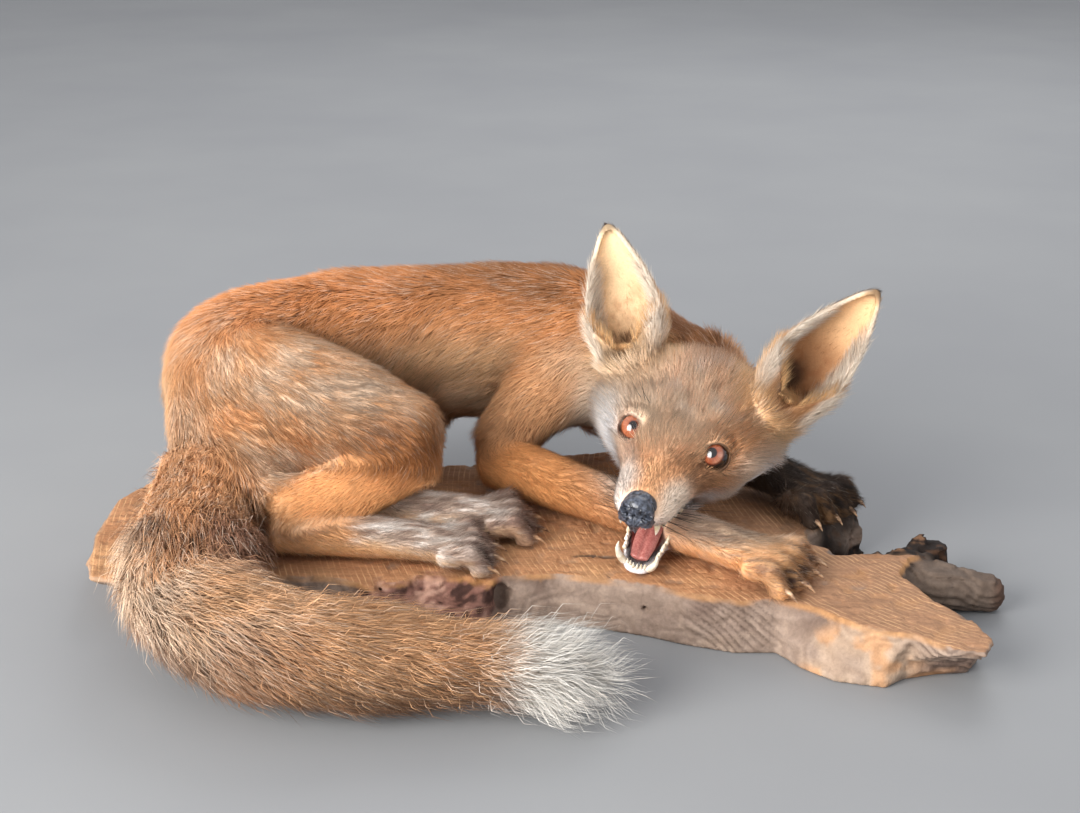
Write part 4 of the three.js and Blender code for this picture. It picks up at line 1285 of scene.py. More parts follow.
# Last, painted light on the temple of the fox's right and painted shade on the nape, then feet a little
# paler, back a little deeper.
mark(tint(255, 226, 192), 0.6 * face_spot((-48, 92, 34), (24, 22, 18), 0.6))
# painted shade on the nape
mark(
    tint(136, 92, 60),
    0.85 * blot(hide, (100, 24, 142), (36, 28, 22), 0.6) * ease(-0.6, 0.3, uneven + 0.4 * fleck),
)
raised = 0.34 * feet * (1 - dark_foot) - (0.12 * on["trunk"] + 0.10 * tail) * ease(-0.1, 0.6, top)
coat[:] = capped(coat * (1 + raised)[:, None] * (1 + head[:, None] * np.array([0.06, 0.09, 0.18])))

# Bare places: black lips, red mouth with painted shade further in, and dark lids.
hollow_at = mouth_hollow(hx, hy, hz)
wet = head * ease(1.2, 0.3, np.abs(hollow_at)) * (hy > 1) * (hy < 66)
lips = head * ease(3.4, 2.2, np.abs(hollow_at)) * ease(66, 58, hy) * (hz < -3)
mark(LIP_BLACK, 0.95 * lips)
mark(MOUTH_RED, 0.95 * wet)
# painted shade: the mouth darker further in
mark(tint(60, 24, 24), 0.9 * wet * ease(26, 44, hy))
lid = np.zeros(len(hide))
for side in (-1, 1):
    centre, gaze, outward, rise = eye_frame(side)
    local = hide_head - centre
    radius = np.linalg.norm(local, axis=1)
    lid = np.maximum(lid, ease(12.4, 11.3, radius) * ease(3, 5, local @ gaze))
mark(tint(92, 50, 36), 0.9 * lid * (hx < 0))
mark(tint(40, 24, 20), 0.9 * lid * (hx >= 0))

lie = unit(lie - hide_out * (lie * hide_out).sum(1, keepdims=True))

# How the hair stands: its length, the height of its tips over the hide, and its width at the root.
bare = np.clip(lid + lips + wet, 0, 1)
shanks = on["shin_right"] + on["shin_left"] + on["forearm_right"] + on["forearm_left"]
length, height, broad = np.repeat([[15.0], [3.9], [0.62]], len(hide), 1)
for amount, values in (
    (thighs, (12.5, 3.4, 0.58)),
    (on["upper_arm_right"] + on["upper_arm_left"], (12, 3.4, 0.58)),
    (shanks, (8.5, 2.2, 0.5)),
    (feet, (7.5, 2.3, 0.42)),
    (tail, (36, 12, 0.52)),
    (rump_hair, (15, 4.5, 0.58)),
    (head * ease(70, 30, hy), (4.0, 1.0, 0.32)),
    (head * ease(30, 78, hy), (10, 3.2, 0.40)),
    (head * ease(84, 110, hy) + cheek * 0.8 * (1 - dark_foot), (18, 6.8, 0.47)),
    (head * ease(30, 44, hx) * ease(8, -6, hz), (9, 2.2, 0.42)),
    (ruff, (20, 7.5, 0.46)),
    (ears, (6, 1.1, 0.4)),
    (ear_skirt, (15, 5.0, 0.5)),
    (ear_fringe, (14, 5.5, 0.42)),
):
    amount = np.clip(amount, 0, 1)
    for size, wanted in zip((length, height, broad), values):
        size += (wanted - size) * amount
height *= 1 + 0.25 * patch

# ---------------------------------------------------------------- coat
# Hair in tufts that are thin, closed spikes of three sides. They grow out of the hide at a low
# angle, follow the lie of the coat and gather in locks. Each piece covers one part of the body.

hide_paint = coat.astype(np.float32)
frost = np.clip(
    0.14 * on["trunk"] + 0.34 * thighs + 0.20 * feet
    + 0.36 * head * ease(50, 80, hy) * (1 - 0.8 * ease(94, 110, hy)) + 0.24 * tail, 0, 0.4,
) * ease(-0.8, 0.6, uneven) * (1 - 0.85 * dark_foot)
ruffle = np.clip(0.25 * on["trunk"] + 0.8 * tail + 0.6 * head * ease(64, 92, hy) + 0.12, 0, 1)
hidden = ease(-0.55, -0.85, top) * ease(44, 38, z) * (1 - tail)
open_hair = np.clip(1 - bare, 0, 1) * (1 - 0.85 * hidden)
open_hair *= 1 - 0.93 * inside_ear * (1 - ear_fringe)
nose_reach = np.sqrt(out_from(hx, hy, hz, (0, 3, 2.4), (11.2, 9.6, 10.3)))
open_hair *= ease(1.0, 1.15, nose_reach) * (1 - 0.45 * tail * ease(0.82, 0.95, run))


def field_at(points):
    """Signed distance to the hide at loose points, read from the cells around them."""
    cell = points / FINE - np.array(first_fine)
    low = np.clip(np.floor(cell).astype(int), 0, np.array(flesh.shape) - 2)
    t = np.clip(cell - low, 0, 1)
    total = 0
    for step in np.ndindex(2, 2, 2):
        weight = np.where(step, t, 1 - t).prod(1)
        total = total + weight * flesh[tuple((low + step).T)]
    return total


def in_wood(points):
    """True for points inside the slab or under the floor."""
    cell = np.round(points / FINE).astype(int) - np.array(near[1])
    inside = ((cell >= 0) & (cell < np.array(wood_near.shape))).all(1)
    cell = np.clip(cell, 0, np.array(wood_near.shape) - 1)
    return (inside & (wood_near[tuple(cell.T)] < 0.2)) | (points[:, 2] < 0.6)


def per_root(values, faces, spots):
    """A value of the hide's corners, at spots inside its faces."""
    corner = values[hide_faces[faces]]
    if corner.ndim == 2:
        return (corner * spots).sum(1)
    return (corner * spots[..., None]).sum(1)


ROOT_DEPTH = 0.7       # how far a tuft starts below the hide
STRAY_SHARE = 0.05     # tufts that stand half as high again
DARK_TIP_SHARE = 0.12
PATCH = 0.003          # width of a tuft's patch on the hide's map
PALE_TIP = tint(255, 226, 192)


def lay_tufts(
    name, mask, count, rings, seed, lock=7.0, pull=0.4, slot="coat_rust", fan=0.0,
    vary=0.11, lock_vary=0.07, root_shade=0.78, tip=CREAM,
):
    """One piece of coat: count tufts of so many cross-sections, spread over the hide by the mask.

    lock and pull are how wide the locks are and how hard they draw their tufts together, fan spreads the
    brush's end, vary, lock_vary and tip are for the colours of tufts and locks, and root_shade darkens each
    tuft at its root as painted shade.
    """
    draw = np.random.default_rng(seed)
    share = mask * open_hair
    weight = hide_area * share[hide_faces].mean(1)
    total = np.cumsum(weight)
    faces = np.searchsorted(total, (np.arange(count) + draw.random(count)) / count * total[-1])
    faces = np.minimum(faces, len(hide_faces) - 1)
    a, b = draw.random(count), draw.random(count)
    over = a + b > 1
    a[over], b[over] = 1 - a[over], 1 - b[over]
    spots = np.stack([1 - a - b, a, b], 1)
    root = per_root(hide, faces, spots)
    out = unit(per_root(hide_out, faces, spots))
    way = per_root(lie, faces, spots)
    reach = per_root(length, faces, spots) * draw.uniform(0.7, 1.25, count)
    lift = per_root(height, faces, spots) * draw.uniform(0.45, 1.35, count)
    half = per_root(broad, faces, spots) * draw.uniform(0.35, 0.62, count)
    wild = per_root(ruffle, faces, spots)
    way = way + wild[:, None] * 0.5 * draw.normal(0, 1, (count, 3)) + 0.12 * draw.normal(0, 1, (count, 3))
    if fan:
        end = per_root(along_limb["tail"], faces, spots)
        spread_out = ease(0.66, 0.9, end)
        way = way + fan * spread_out[:, None] * (
            out * np.array([0.4, 1.0, 0.35]) + 0.22 * draw.normal(0, 1, (count, 3))
        )
        reach = reach * np.interp(end, [0.7, 0.8, 0.9, 1.0], [1.0, 1.1, 0.75, 0.42])
        lift = lift * (1 + 1.2 * spread_out)
        half = half * (1 - 0.38 * spread_out)
    way = unit(way - out * (way * out).sum(1, keepdims=True))
    stray = draw.random(count) < STRAY_SHARE
    lift = np.where(stray, lift * 1.5, lift)
    steps = np.linspace(0, 1, rings + 1)
    line = [root - out * ROOT_DEPTH]
    for t in steps[1:]:
        wanted = lift * (1 - (1 - t) ** 2)
        point = root + way * (reach * t)[:, None] + out * wanted[:, None]
        close = wanted < 4.0
        if close.any():
            extra = field_at(point[close]) - wanted[close]
            point[close] -= out[close] * np.clip(extra, -2.5, 3.2)[:, None]
        line.append(point)
    uneven_edge = np.stack([grain(*root.T, lock * 1.3, seed + k) for k in range(3)], 1)
    cell = np.floor((root + 0.45 * lock * uneven_edge) / lock).astype(np.int64)
    key = (cell[:, 0] * 92821 + cell[:, 1]) * 68917 + cell[:, 2]
    _, group = np.unique(key, return_inverse=True)
    group = group.reshape(-1)
    size = np.bincount(group)
    for k, t in enumerate(steps[1:], 1):
        middle = np.stack([np.bincount(group, line[k][:, c]) / size for c in range(3)], 1)[group]
        line[k] = line[k] + (middle - line[k]) * (pull * t**1.5)
    blocked = in_wood(line[-1]) | in_wood(line[len(line) // 2])
    for k in range(1, rings + 1):
        line[k][blocked] = line[0][blocked] + (line[k][blocked] - line[0][blocked]) * 0.5
        line[k][blocked] += out[blocked] * 0.6 * k
    keep = ~(in_wood(line[-1]) | in_wood(root + out * 0.5))
    line = [p[keep] for p in line]
    out, half, faces, spots = out[keep], half[keep], faces[keep], spots[keep]
    count = int(keep.sum())
    tone = per_root(hide_paint, faces, spots)
    bright = (draw.normal(1.0, vary, count) * draw.normal(1.0, lock_vary, len(size))[group[keep]])[:, None]
    tone = capped(tone * np.clip(bright, 0.6, 1.5))
    white_tip = draw.random(count) < per_root(frost, faces, spots)
    dark_tip = draw.random(count) < DARK_TIP_SHARE
    # painted shade: each tuft darker at its root
    shades = [capped(tone * root_shade)]
    for t in steps[1:]:
        shade = tone * (0.94 + 0.14 * t)
        shade = np.where(white_tip[:, None], shade + (tip - shade) * 0.7 * t, shade)
        shade = np.where(dark_tip[:, None], shade * (1 - 0.3 * t), shade)
        shades.append(capped(shade))
    place = (hide_map[faces] * spots[..., None]).sum(1)
    side_way = unit(np.cross(line[1] - line[0], out))
    points, colours, patches = [], [], []
    for k in range(rings):
        t = steps[k]
        wide = (half * (1 - t) ** 0.6 * (0.85 if k == 0 else 1.0))[:, None]
        ahead = line[k + 1] - line[max(k - 1, 0)]
        ridge = unit(np.cross(side_way, ahead))
        points += [line[k] - side_way * wide, line[k] + side_way * wide, line[k] + ridge * wide * 0.9]
        colours += [shades[k]] * 3
        patches += [place + (dx * PATCH / 2, (t - 0.5) * PATCH) for dx in (-1, 1, 0)]
    points.append(line[-1])
    colours.append(shades[-1])
    patches.append(place + (0.0, PATCH / 2))
    each = 3 * rings + 1
    points = np.stack(points, 1).reshape(-1, 3)
    colours = np.stack(colours, 1).reshape(-1, 3)
    patches = np.clip(np.stack(patches, 1).reshape(-1, 2), 0.0, 1.0)
    pattern = [(0, 2, 1)]
    for k in range(rings - 1):
        for p, q in ((0, 1), (1, 2), (2, 0)):
            pattern += [(3 * k + p, 3 * k + q, 3 * k + 3 + q), (3 * k + p, 3 * k + 3 + q, 3 * k + 3 + p)]
    last = 3 * (rings - 1)
    pattern += [(last + p, last + q, each - 1) for p, q in ((0, 1), (1, 2), (2, 0))]
    pattern = np.array(pattern)
    corners = (np.arange(count)[:, None, None] * each + pattern[None]).reshape(-1, 3)
    piece = make_mesh(name, points, corners)
    mesh = piece.data
    layer = mesh.uv_layers.new(name="OFBake")
    layer.uv.foreach_set("vector", patches[corners.ravel()].astype(np.float32).ravel())
    keep_tints(mesh, "coat_colour", colours)
    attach(piece, "root")
    return piece


rear = ease(-40, -60, hide[:, 0])
face_front = ease(84, 70, hide_head[:, 1])
face_look = {"vary": 0.18, "lock_vary": 0.15, "root_shade": 0.97, "tip": PALE_TIP}
crown_look = {"vary": 0.2, "lock_vary": 0.18, "root_shade": 0.88, "tip": PALE_TIP}
coat_pieces = [
    lay_tufts("coat_back_rear", on["trunk"] * rear, 42000, 1, 101),
    lay_tufts("coat_back_front", on["trunk"] * (1 - rear), 42000, 1, 102),
    lay_tufts("coat_thighs", thighs + on["upper_arm_right"] + on["upper_arm_left"], 42000, 1, 103, lock=6),
    lay_tufts("coat_shanks", shanks, 32000, 1, 104, lock=4.5, pull=0.3),
    lay_tufts(
        "coat_feet", feet, 28000, 1, 105, lock=2.4, pull=0.2, slot="coat_grey", vary=0.17, lock_vary=0.12
    ),
    lay_tufts("coat_face", on["head"] * face_front, 42000, 1, 106, lock=3, pull=0.25, **face_look),
    lay_tufts(
        "coat_crown_and_cheeks", on["head"] * (1 - face_front), 36000, 1, 107, lock=4, pull=0.5,
        **crown_look,
    ),
    lay_tufts("coat_ears", ears, 18000, 1, 108, lock=4, pull=0.3, slot="coat_dark"),
    lay_tufts("coat_brush_base", tail * ease(0.52, 0.46, run), 16500, 2, 109, lock=11, pull=0.5),
    lay_tufts(
        "coat_brush_tip", tail * ease(0.46, 0.52, run), 16500, 2, 110, lock=11, pull=0.5, slot="coat_cream",
        fan=0.5,
    ),
]


def hair_finish(name, roughness, specular):
    """Hair: the marks' own colour, broken up by fine light and dark streaks."""
    recipe = Recipe(name, roughness, specular)
    fine = recipe.noise(recipe.place(), 900, detail=2)
    broad_change = recipe.noise(recipe.place(), 60, detail=3)
    streak = recipe.shade(fine, (0.3, 0.90), (0.7, 1.06))
    lock = recipe.shade(broad_change, (0.3, 0.90), (0.75, 1.06))
    base = recipe.mix(1.0, recipe.reads("coat_colour"), streak, "MULTIPLY")
    recipe.colour(recipe.mix(1.0, base, lock, "MULTIPLY"))
    return recipe


coat_finish = hair_finish("fox_hair", 0.62, 0.28)
for piece in coat_pieces:
    piece.data.materials.append(coat_finish.material)

# painted shade: the hide under the hair a fifth darker, lighter where bare, in the ear cups and at the
# front of the face
shaded_hide = coat * (0.8 + 0.2 * np.clip(bare + 0.8 * inside_ear + on["head"] * face_front, 0, 1))[:, None]
keep_tints(skin_mesh, "coat_colour", shaded_hide)
hide_finish = hair_finish("fox_hide", 0.7, 0.25)
hide_finish.bump(hide_finish.noise(hide_finish.place(), 1400, detail=3), 0.5, 0.0006)
skin_mesh.materials.clear()
skin_mesh.materials.append(hide_finish.material)
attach(skin, "root")
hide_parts(*[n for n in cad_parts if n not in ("slab", "eye_left", "eye_right", "nose", "tongue")])

# ---------------------------------------------------------------- eyes
# Glass eyes of the taxidermist's kind: solid glass balls, painted behind with an orange iris, a
# round black pupil and a dark rim, and set in the sockets so that the bare lids lie on them.

GLASS_RADIUS = 9.0
EYE_RINGS, EYE_SPOKES = 56, 72
# Where each eye looks, as shares of the radius to the right of and above the viewer.
LOOKS = {-1: (-0.07, 0.24), 1: (-0.17, 0.18)}

glass = Recipe("glass_eye", roughness=0.04, specular=0.6)
glass.shader.inputs["Coat Weight"].default_value = 1.0
glass.shader.inputs["Coat Roughness"].default_value = 0.02
glass.colour(glass.reads("eye_colour"))
for side, cad_eye, eye_name in ((-1, "eye_right", "glass_eye_right"), (1, "eye_left", "glass_eye_left")):
    centre = in_place(eye_frame(side)[0])
    to_viewer = unit(np.array(CAMERA_AT) * 1000 - centre)
    viewer_right = np.array([1.0, 0, 0])
    viewer_right = viewer_right - to_viewer * (viewer_right @ to_viewer)
    viewer_up = np.cross(to_viewer, viewer_right)
    a, b = LOOKS[side]
    pole = a * viewer_right + b * viewer_up + math.sqrt(1 - a * a - b * b) * to_viewer
    first_way = unit(np.cross(pole, (0.0, 0.0, 1.0)))
    second_way = np.cross(pole, first_way)
    fall = (np.linspace(0, 1, EYE_RINGS) ** 1.3 * math.pi)[:, None]
    round_it = (np.arange(EYE_SPOKES) * 2 * math.pi / EYE_SPOKES)[None]
    away = np.cos(round_it)[..., None] * first_way + np.sin(round_it)[..., None] * second_way
    ball = np.cos(fall)[..., None] * pole + np.sin(fall)[..., None] * away
    ball = centre + GLASS_RADIUS * ball.reshape(-1, 3)
    rows, columns = np.meshgrid(np.arange(EYE_RINGS - 1), np.arange(EYE_SPOKES), indexing="ij")
    here, beside = rows * EYE_SPOKES + columns, rows * EYE_SPOKES + (columns + 1) % EYE_SPOKES
    quads = np.stack([here, here + EYE_SPOKES, beside + EYE_SPOKES, beside], -1).reshape(-1, 4)
    points, index = np.unique(np.round(ball, 4), axis=0, return_inverse=True)
    quads = index.reshape(-1)[quads]
    cap = (quads[:, 0] == quads[:, 3]) | (quads[:, 1] == quads[:, 2])
    halves = [quads[which][:, corners] for which in (~cap, cap) for corners in ([0, 1, 2], [0, 2, 3])]
    eye = make_mesh(eye_name, points, whole(np.concatenate(halves)))
    turn = np.degrees(np.arccos(np.clip((points - centre) @ pole / GLASS_RADIUS, -1, 1)))
    spoke = np.arctan2((points - centre) @ second_way, (points - centre) @ first_way)
    streaks = (
        0.5 * np.sin(spoke * 23 + 3 * np.sin(spoke * 5)) + 0.5 * np.sin(spoke * 41 + 2 * np.sin(spoke * 7))
    )
    # painted light: a paler patch on the iris across from the light, as if lit through the glass
    painted_glass_light = ease(0.1, 0.9, ((points - centre) @ (viewer_right - 0.8 * viewer_up)) / (GLASS_RADIUS * 0.8))
    orange, pupil, edge = (tint(158, 92, 62), 17.5, 60.0) if side < 0 else (tint(134, 70, 44), 21.0, 51.0)
    iris = np.repeat(orange[None], len(points), 0)
    for shade, amount in (
        ((196, 118, 82), 0.4 * ease(0.0, 1.0, streaks) * ease(18, 30, turn)),
        ((206, 150, 118), 0.45 * painted_glass_light * ease(18, 30, turn)),
        ((104, 48, 32), 0.6 * ease(28, 19, turn) + 0.35 * ease(0.2, 1.0, -streaks)),
        ((80, 34, 22), ease(edge - 9, edge - 1, turn)),
        ((14, 8, 7), np.maximum(ease(pupil + 1.2, pupil - 1.2, turn), ease(edge, edge + 7, turn))),
    ):
        iris = paint(iris, tint(*shade), amount)
    keep_tints(eye.data, "eye_colour", iris)
    eye.data.materials.append(glass.material)
    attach(eye, "root")
    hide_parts(cad_eye)

# ---------------------------------------------------------------- nose
# A nose modelled in epoxy over the skull's tip: blue-black, pebbled, with comma nostrils, a
# cleft below them and the creases that the tool left, worn a little shiny.

NOSE_STEP = 0.45
nose_first, _, (qx, qy, qz) = lattice((-14, -10, -17), (14, 13, 16), NOSE_STEP)
across_nose = np.abs(qx)
SQUARENESS = 2.9  # 2 would be a ball, more is squarer
bent_up = np.abs(qz - 2.4 + 0.035 * qx * qx)
pad = (across_nose / 11.2) ** SQUARENESS + (np.abs(qy - 3.4) / 9.0) ** SQUARENESS
pad = ((pad + (bent_up / 9.6) ** SQUARENESS) ** (1 / SQUARENESS) - 1) * 9.0
pad -= 0.9 * np.exp(-((across_nose - 4.6) / 2.6) ** 2 - ((qz - 5.6) / 2.4) ** 2)
lip_strip = round_bar(qx, qy, qz, np.array([0, -2.8, -4.0]), np.array([0, 0.8, -12.5]), 3.8, 2.2)
pad = fillet(pad, lip_strip, 2.5)
nostril = np.minimum(
    pit(across_nose, qy, qz, (5.0, -6.2, 4.4), (2.7, 4.6, 2.2)),
    pit(across_nose, qy, qz, (8.6, -4.2, 2.0), (3.6, 4.2, 1.2)),
)
pad = -fillet(-pad, nostril, 0.9)
cleft = 1.1 * np.exp(-((qx / 0.8) ** 2)) * ease(9.0, 3.0, qz)
cut = 0.8 * np.exp(-(((qz - 1.2 + 0.25 * across_nose) / 0.8) ** 2)) * ease(8, 3, across_nose)
pad += cleft + cut
wrinkled = np.abs(grain(qx, qy, qz, 7, 91))
pad += 0.5 * ease(0.14, 0.0, wrinkled) + 0.2 * grain(qx, qy, qz, 1.5, 92) + 0.45 * grain(qx, qy, qz, 4, 93)
nose_points, nose_quads = surface_of(pad, nose_first, NOSE_STEP, 2.2)
nose = make_mesh("nose_leather", in_place(nose_points), nose_quads)
nose_finish = Recipe("nose_leather", roughness=0.36, specular=0.6)
pebble = nose_finish.noise(nose_finish.place(), 420, detail=4)
# blue-black, lighter on the raised pebbles: painted highlight
nose_finish.colour(nose_finish.shade(pebble, (0.38, tint(26, 28, 35)), (0.66, tint(92, 98, 112))))
nose_finish.bump(pebble, 0.5, 0.0005)
nose.data.materials.append(nose_finish.material)
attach(nose, "root")
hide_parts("nose")

# ---------------------------------------------------------------- tongue
# A carved and painted tongue that lies in the lower jaw, wet-looking, with a furrow down its
# middle.

TONGUE = [
    (1.5, 50, -24, 8.0, 2.6, 3.6, 0), (3.2, 34, -28.5, 7.6, 2.8, 3.8, 0),
    (4.6, 17, -33.0, 7.0, 2.4, 3.4, 0), (5.2, 7, -35.4, 5.6, 1.8, 2.6, 0),
]
tongue_points, tongue_faces = limb_shell(TONGUE, rings=40, sides=36, dome=0.9)
tongue_x, tongue_y, tongue_z = np.array(TONGUE)[::-1, :3].T
middle_x = np.interp(tongue_points[:, 1], tongue_y, tongue_x)
middle_z = np.interp(tongue_points[:, 1], tongue_y, tongue_z)
on_top = ease(0.0, 1.2, tongue_points[:, 2] - middle_z)
tongue_points[:, 2] -= on_top * 1.5 * np.exp(-(((tongue_points[:, 0] - middle_x) / 1.2) ** 2))
tongue_points[:, 2] += 0.25 * on_top * grain(*tongue_points.T, 2.2, 95)
tongue = make_mesh("painted_tongue", in_place(tongue_points), tongue_faces)
tongue_paint = Recipe("tongue_red", roughness=0.34, specular=0.5)
buds = tongue_paint.noise(tongue_paint.place(), 900, detail=2)
flush = tongue_paint.noise(tongue_paint.place(), 120, detail=2)
flushed = tongue_paint.shade(flush, (0.3, tint(150, 76, 72)), (0.7, tint(182, 112, 104)))
budded = tongue_paint.shade(buds, (0.3, tint(140, 66, 62)), (0.7, tint(204, 142, 132)))
tongue_paint.colour(tongue_paint.mix(0.5, flushed, budded))
tongue_paint.bump(buds, 0.4, 0.0004)
tongue.data.materials.append(tongue_paint.material)
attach(tongue, "root")
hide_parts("tongue")

# ---------------------------------------------------------------- teeth
# The fox's own teeth, stained yellow in patches: canines, a row of small incisors and pointed cheek teeth
# in both jaws. Each is swept along its own bent axis.


def sweep_group():
    """Geometry nodes that sweep a circle of the axis's own radius along each axis."""
    group = bpy.data.node_groups.new("swept_along_axis", "GeometryNodeTree")
    face = group.interface
    face.new_socket("Geometry", in_out="INPUT", socket_type="NodeSocketGeometry")
    face.new_socket("Thickness", in_out="INPUT", socket_type="NodeSocketFloat").default_value = 1.0
    face.new_socket("Sides", in_out="INPUT", socket_type="NodeSocketInt").default_value = 8
    face.new_socket("Finish", in_out="INPUT", socket_type="NodeSocketMaterial")
    face.new_socket("Geometry", in_out="OUTPUT", socket_type="NodeSocketGeometry")
    nodes, links = group.nodes, group.links
    given, made = nodes.new("NodeGroupInput"), nodes.new("NodeGroupOutput")
    radius = nodes.new("GeometryNodeInputRadius")
    scaled = nodes.new("ShaderNodeMath")
    scaled.operation = "MULTIPLY"
    circle = nodes.new("GeometryNodeCurvePrimitiveCircle")
    circle.inputs["Radius"].default_value = 1.0
    sweep = nodes.new("GeometryNodeCurveToMesh")
    sweep.inputs["Fill Caps"].default_value = True
    smooth = nodes.new("GeometryNodeSetShadeSmooth")
    realize = nodes.new("GeometryNodeRealizeInstances")
    finish = nodes.new("GeometryNodeSetMaterial")
    for out_socket, in_socket in (
        (given.outputs["Geometry"], sweep.inputs["Curve"]),
        (given.outputs["Thickness"], scaled.inputs[0]),
        (radius.outputs[0], scaled.inputs[1]),
        (scaled.outputs[0], sweep.inputs["Scale"]),
        (given.outputs["Sides"], circle.inputs["Resolution"]),
        (circle.outputs["Curve"], sweep.inputs["Profile Curve"]),
        (sweep.outputs[0], smooth.inputs[0]),
        (smooth.outputs[0], realize.inputs[0]),
        (realize.outputs[0], finish.inputs["Geometry"]),
        (given.outputs["Finish"], finish.inputs["Material"]),
        (finish.outputs[0], made.inputs[0]),
    ):
        links.new(out_socket, in_socket)
    return group


def swept(name, axes, sides, material):
    """One mesh of many swept shapes. Each axis is rows of x, y, z and radius in millimetres."""
    curve = bpy.data.curves.new(name + "_axes", "CURVE")
    curve.dimensions = "3D"
    for axis in axes:
        axis = np.asarray(axis, float) * 0.001
        spline = curve.splines.new("POLY")
        spline.points.add(len(axis) - 1)
        spline.points.foreach_set("co", np.concatenate([axis[:, :3], np.ones((len(axis), 1))], 1).ravel())
        spline.points.foreach_set("radius", axis[:, 3])
    carrier = bpy.data.objects.new(name + "_axes", curve)
    bpy.context.scene.collection.objects.link(carrier)
    modifier = carrier.modifiers.new("sweep", "NODES")
    modifier.node_group = SWEEP
    names = {item.name: item.identifier for item in SWEEP.interface.items_tree if item.in_out == "INPUT"}
    modifier[names["Thickness"]] = 1.0
    modifier[names["Sides"]] = sides
    modifier[names["Finish"]] = material
    mesh = bpy.data.meshes.new_from_object(carrier.evaluated_get(bpy.context.evaluated_depsgraph_get()))
    carrier.modifiers.clear()
    bpy.data.objects.remove(carrier)
    mesh.name = name
    piece = bpy.data.objects.new(name, mesh)
    bpy.context.scene.collection.objects.link(piece)
    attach(piece, "root")
    return piece


SWEEP = sweep_group()


def bent(root, tip, radius, bow, steps=7, blunt=0.1):
    """A tapering axis from root to tip that bows sideways by the vector bow."""
    t = np.linspace(0, 1, steps)[:, None]
    line = np.asarray(root) + (np.asarray(tip, float) - root) * t + np.asarray(bow) * (4 * t * (1 - t))
    thick = radius * np.maximum((1 - t**1.6) ** 0.8, blunt)
    thick[0] *= 0.9
    return np.concatenate([line, thick], 1)


tooth_axes = []
for side in (-1, 1):
    tooth_axes.append(bent((side * 10.5, 13, -9), (side * 11.2, 12, -19.5), 2.3, (side * 0.6, -0.8, 0)))
    lower_root, lower_point = (5 + side * 8.0, 4, -39.5), (5 + side * 12.4, 0, -23.5)
    tooth_axes.append(bent(lower_root, lower_point, 2.5, (side * 1.8, -1.2, 0)))
    for out_by in (1.2, 3.3, 5.4):
        upper_root = (side * out_by, 6 + out_by * 0.4, -9)
        upper_edge = (side * out_by, 5 + out_by * 0.4, -14.2)
        tooth_axes.append(bent(upper_root, upper_edge, 1.35, (0, -0.3, 0), blunt=0.3))
        lower_root = (5.2 + side * out_by, 1.0 + out_by * 0.45, -40)
        lower_edge = (5.2 + side * out_by * 1.05, -0.6 + out_by * 0.45, -35.4)
        tooth_axes.append(bent(lower_root, lower_edge, 1.15, (0, -0.4, 0), blunt=0.3))
    for back, tall in ((18, 4.5), (25, 5.5), (32, 6.5), (40, 7.5)):
        for ahead_by, share in ((-2.0, 0.6), (0.0, 1.0), (2.0, 0.65)):
            x, y = side * (10.2 + back * 0.19), back + ahead_by
            point = (x * 0.99, y, -12.5 - tall * share)
            tooth_axes.append(bent((x, y, -12.5), point, 1.7, (0, 0, 0), steps=5))
            x, y = JAW_TURN * (1.15 - back * 0.015) + side * (8.3 + back * 0.13), back - 3 + ahead_by
            gum = -39.5 + back * 0.14
            point = (x + side * 0.4, y, gum + (tall - 0.5) * share)
            tooth_axes.append(bent((x, y, gum), point, 1.6, (0, 0, 0), steps=5))
ivory = Recipe("tooth_ivory", roughness=0.28, specular=0.5)
stain = ivory.noise(ivory.place(), 260, detail=3)
ivory.colour(ivory.shade(stain, (0.3, tint(214, 196, 160)), (0.62, tint(244, 238, 224))))
tooth_axes = [np.concatenate([in_place(axis[:, :3]), axis[:, 3:]], 1) for axis in tooth_axes]
teeth = swept("teeth", tooth_axes, 10, ivory.material)

# ---------------------------------------------------------------- claws
# Bent horn in dark and pale layers, one to a toe. They stand out of the hair over the edge of the toe and
# rest just above the wood.

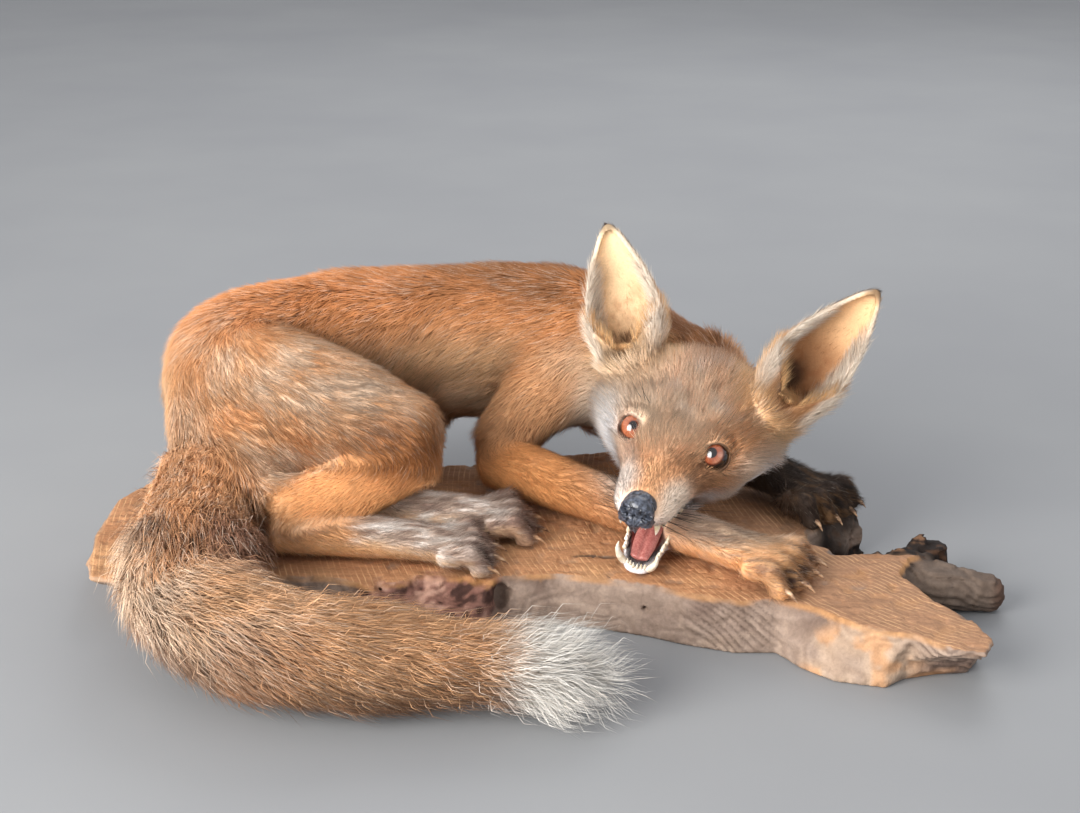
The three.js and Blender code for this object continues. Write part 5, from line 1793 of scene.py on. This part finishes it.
claw_axes = []
for name in FEET:
    for number in range(4):
        root, knuckle, tip, ahead = toe_joints(name, number)
        start = tip + ahead * 1.0 + (0, 0, 1.6)
        end = start + ahead * (9.5 if name == "fore_left" else 11.5) + (0, 0, -4.6)
        claw_axes.append(bent(start, end, 2.0, (0, 0, 1.7), steps=9, blunt=0.06))
horn = Recipe("claw_horn", roughness=0.36, specular=0.45)
layered = horn.noise(horn.place((1, 1, 3)), 160, detail=3)
horn.colour(horn.shade(
    layered, (0.34, tint(92, 66, 52)), (0.52, tint(166, 128, 96)), (0.7, tint(208, 178, 144)),
))
claws = swept("claws", claw_axes, 10, horn.material)

# ---------------------------------------------------------------- whiskers
# Stiff black bristles, thin as thread, that grow in rows from the whisker pads and in a tuft
# over each brow. They run outwards and back and droop towards their ends.

draw = np.random.default_rng(7)
bristles = []


def bristle(root, way, reach, droop, thick, steps):
    """Adds a tapering bristle that leaves its root by one way and bends off by its droop."""
    t = np.linspace(0, 1, steps)[:, None]
    line = np.array(root) + unit(way) * reach * t + np.array(droop) * t**2
    bristles.append(np.concatenate([in_place(line), thick * (1 - 0.85 * t)], 1))


for side in (-1, 1):
    for row in range(3):
        for place_in_row in range(4):
            root = (side * (12.5 + 1.6 * place_in_row), 10 + 5.2 * place_in_row, -2.5 - 3.0 * row)
            reach = 30 + 6 * place_in_row + draw.uniform(-6, 8)
            rise = -0.18 - 0.16 * row + draw.uniform(-0.12, 0.12)
            way = np.array([side * 0.80, 0.50 + 0.12 * place_in_row, rise])
            bristle(root, way, reach, (side * -3.0, 8.0, -7.0), 0.26, 9)
    for lift_by in (0, 3, 6):
        way = np.array([side * 0.35, -0.35, 0.85]) + draw.uniform(-0.15, 0.15, 3)
        bristle((side * (22 + lift_by), 72, 30 + lift_by * 0.3), way, 20, (0, 5.0, 0), 0.2, 7)
for line in bristles:
    line[:, 2] = np.maximum(line[:, 2], SLAB_TOP + 1.5)
bristle_black = Recipe("whisker_black", roughness=0.4, specular=0.4)
bristle_black.colour(tint(30, 24, 22))
whiskers = swept("whiskers", bristles, 4, bristle_black.material)
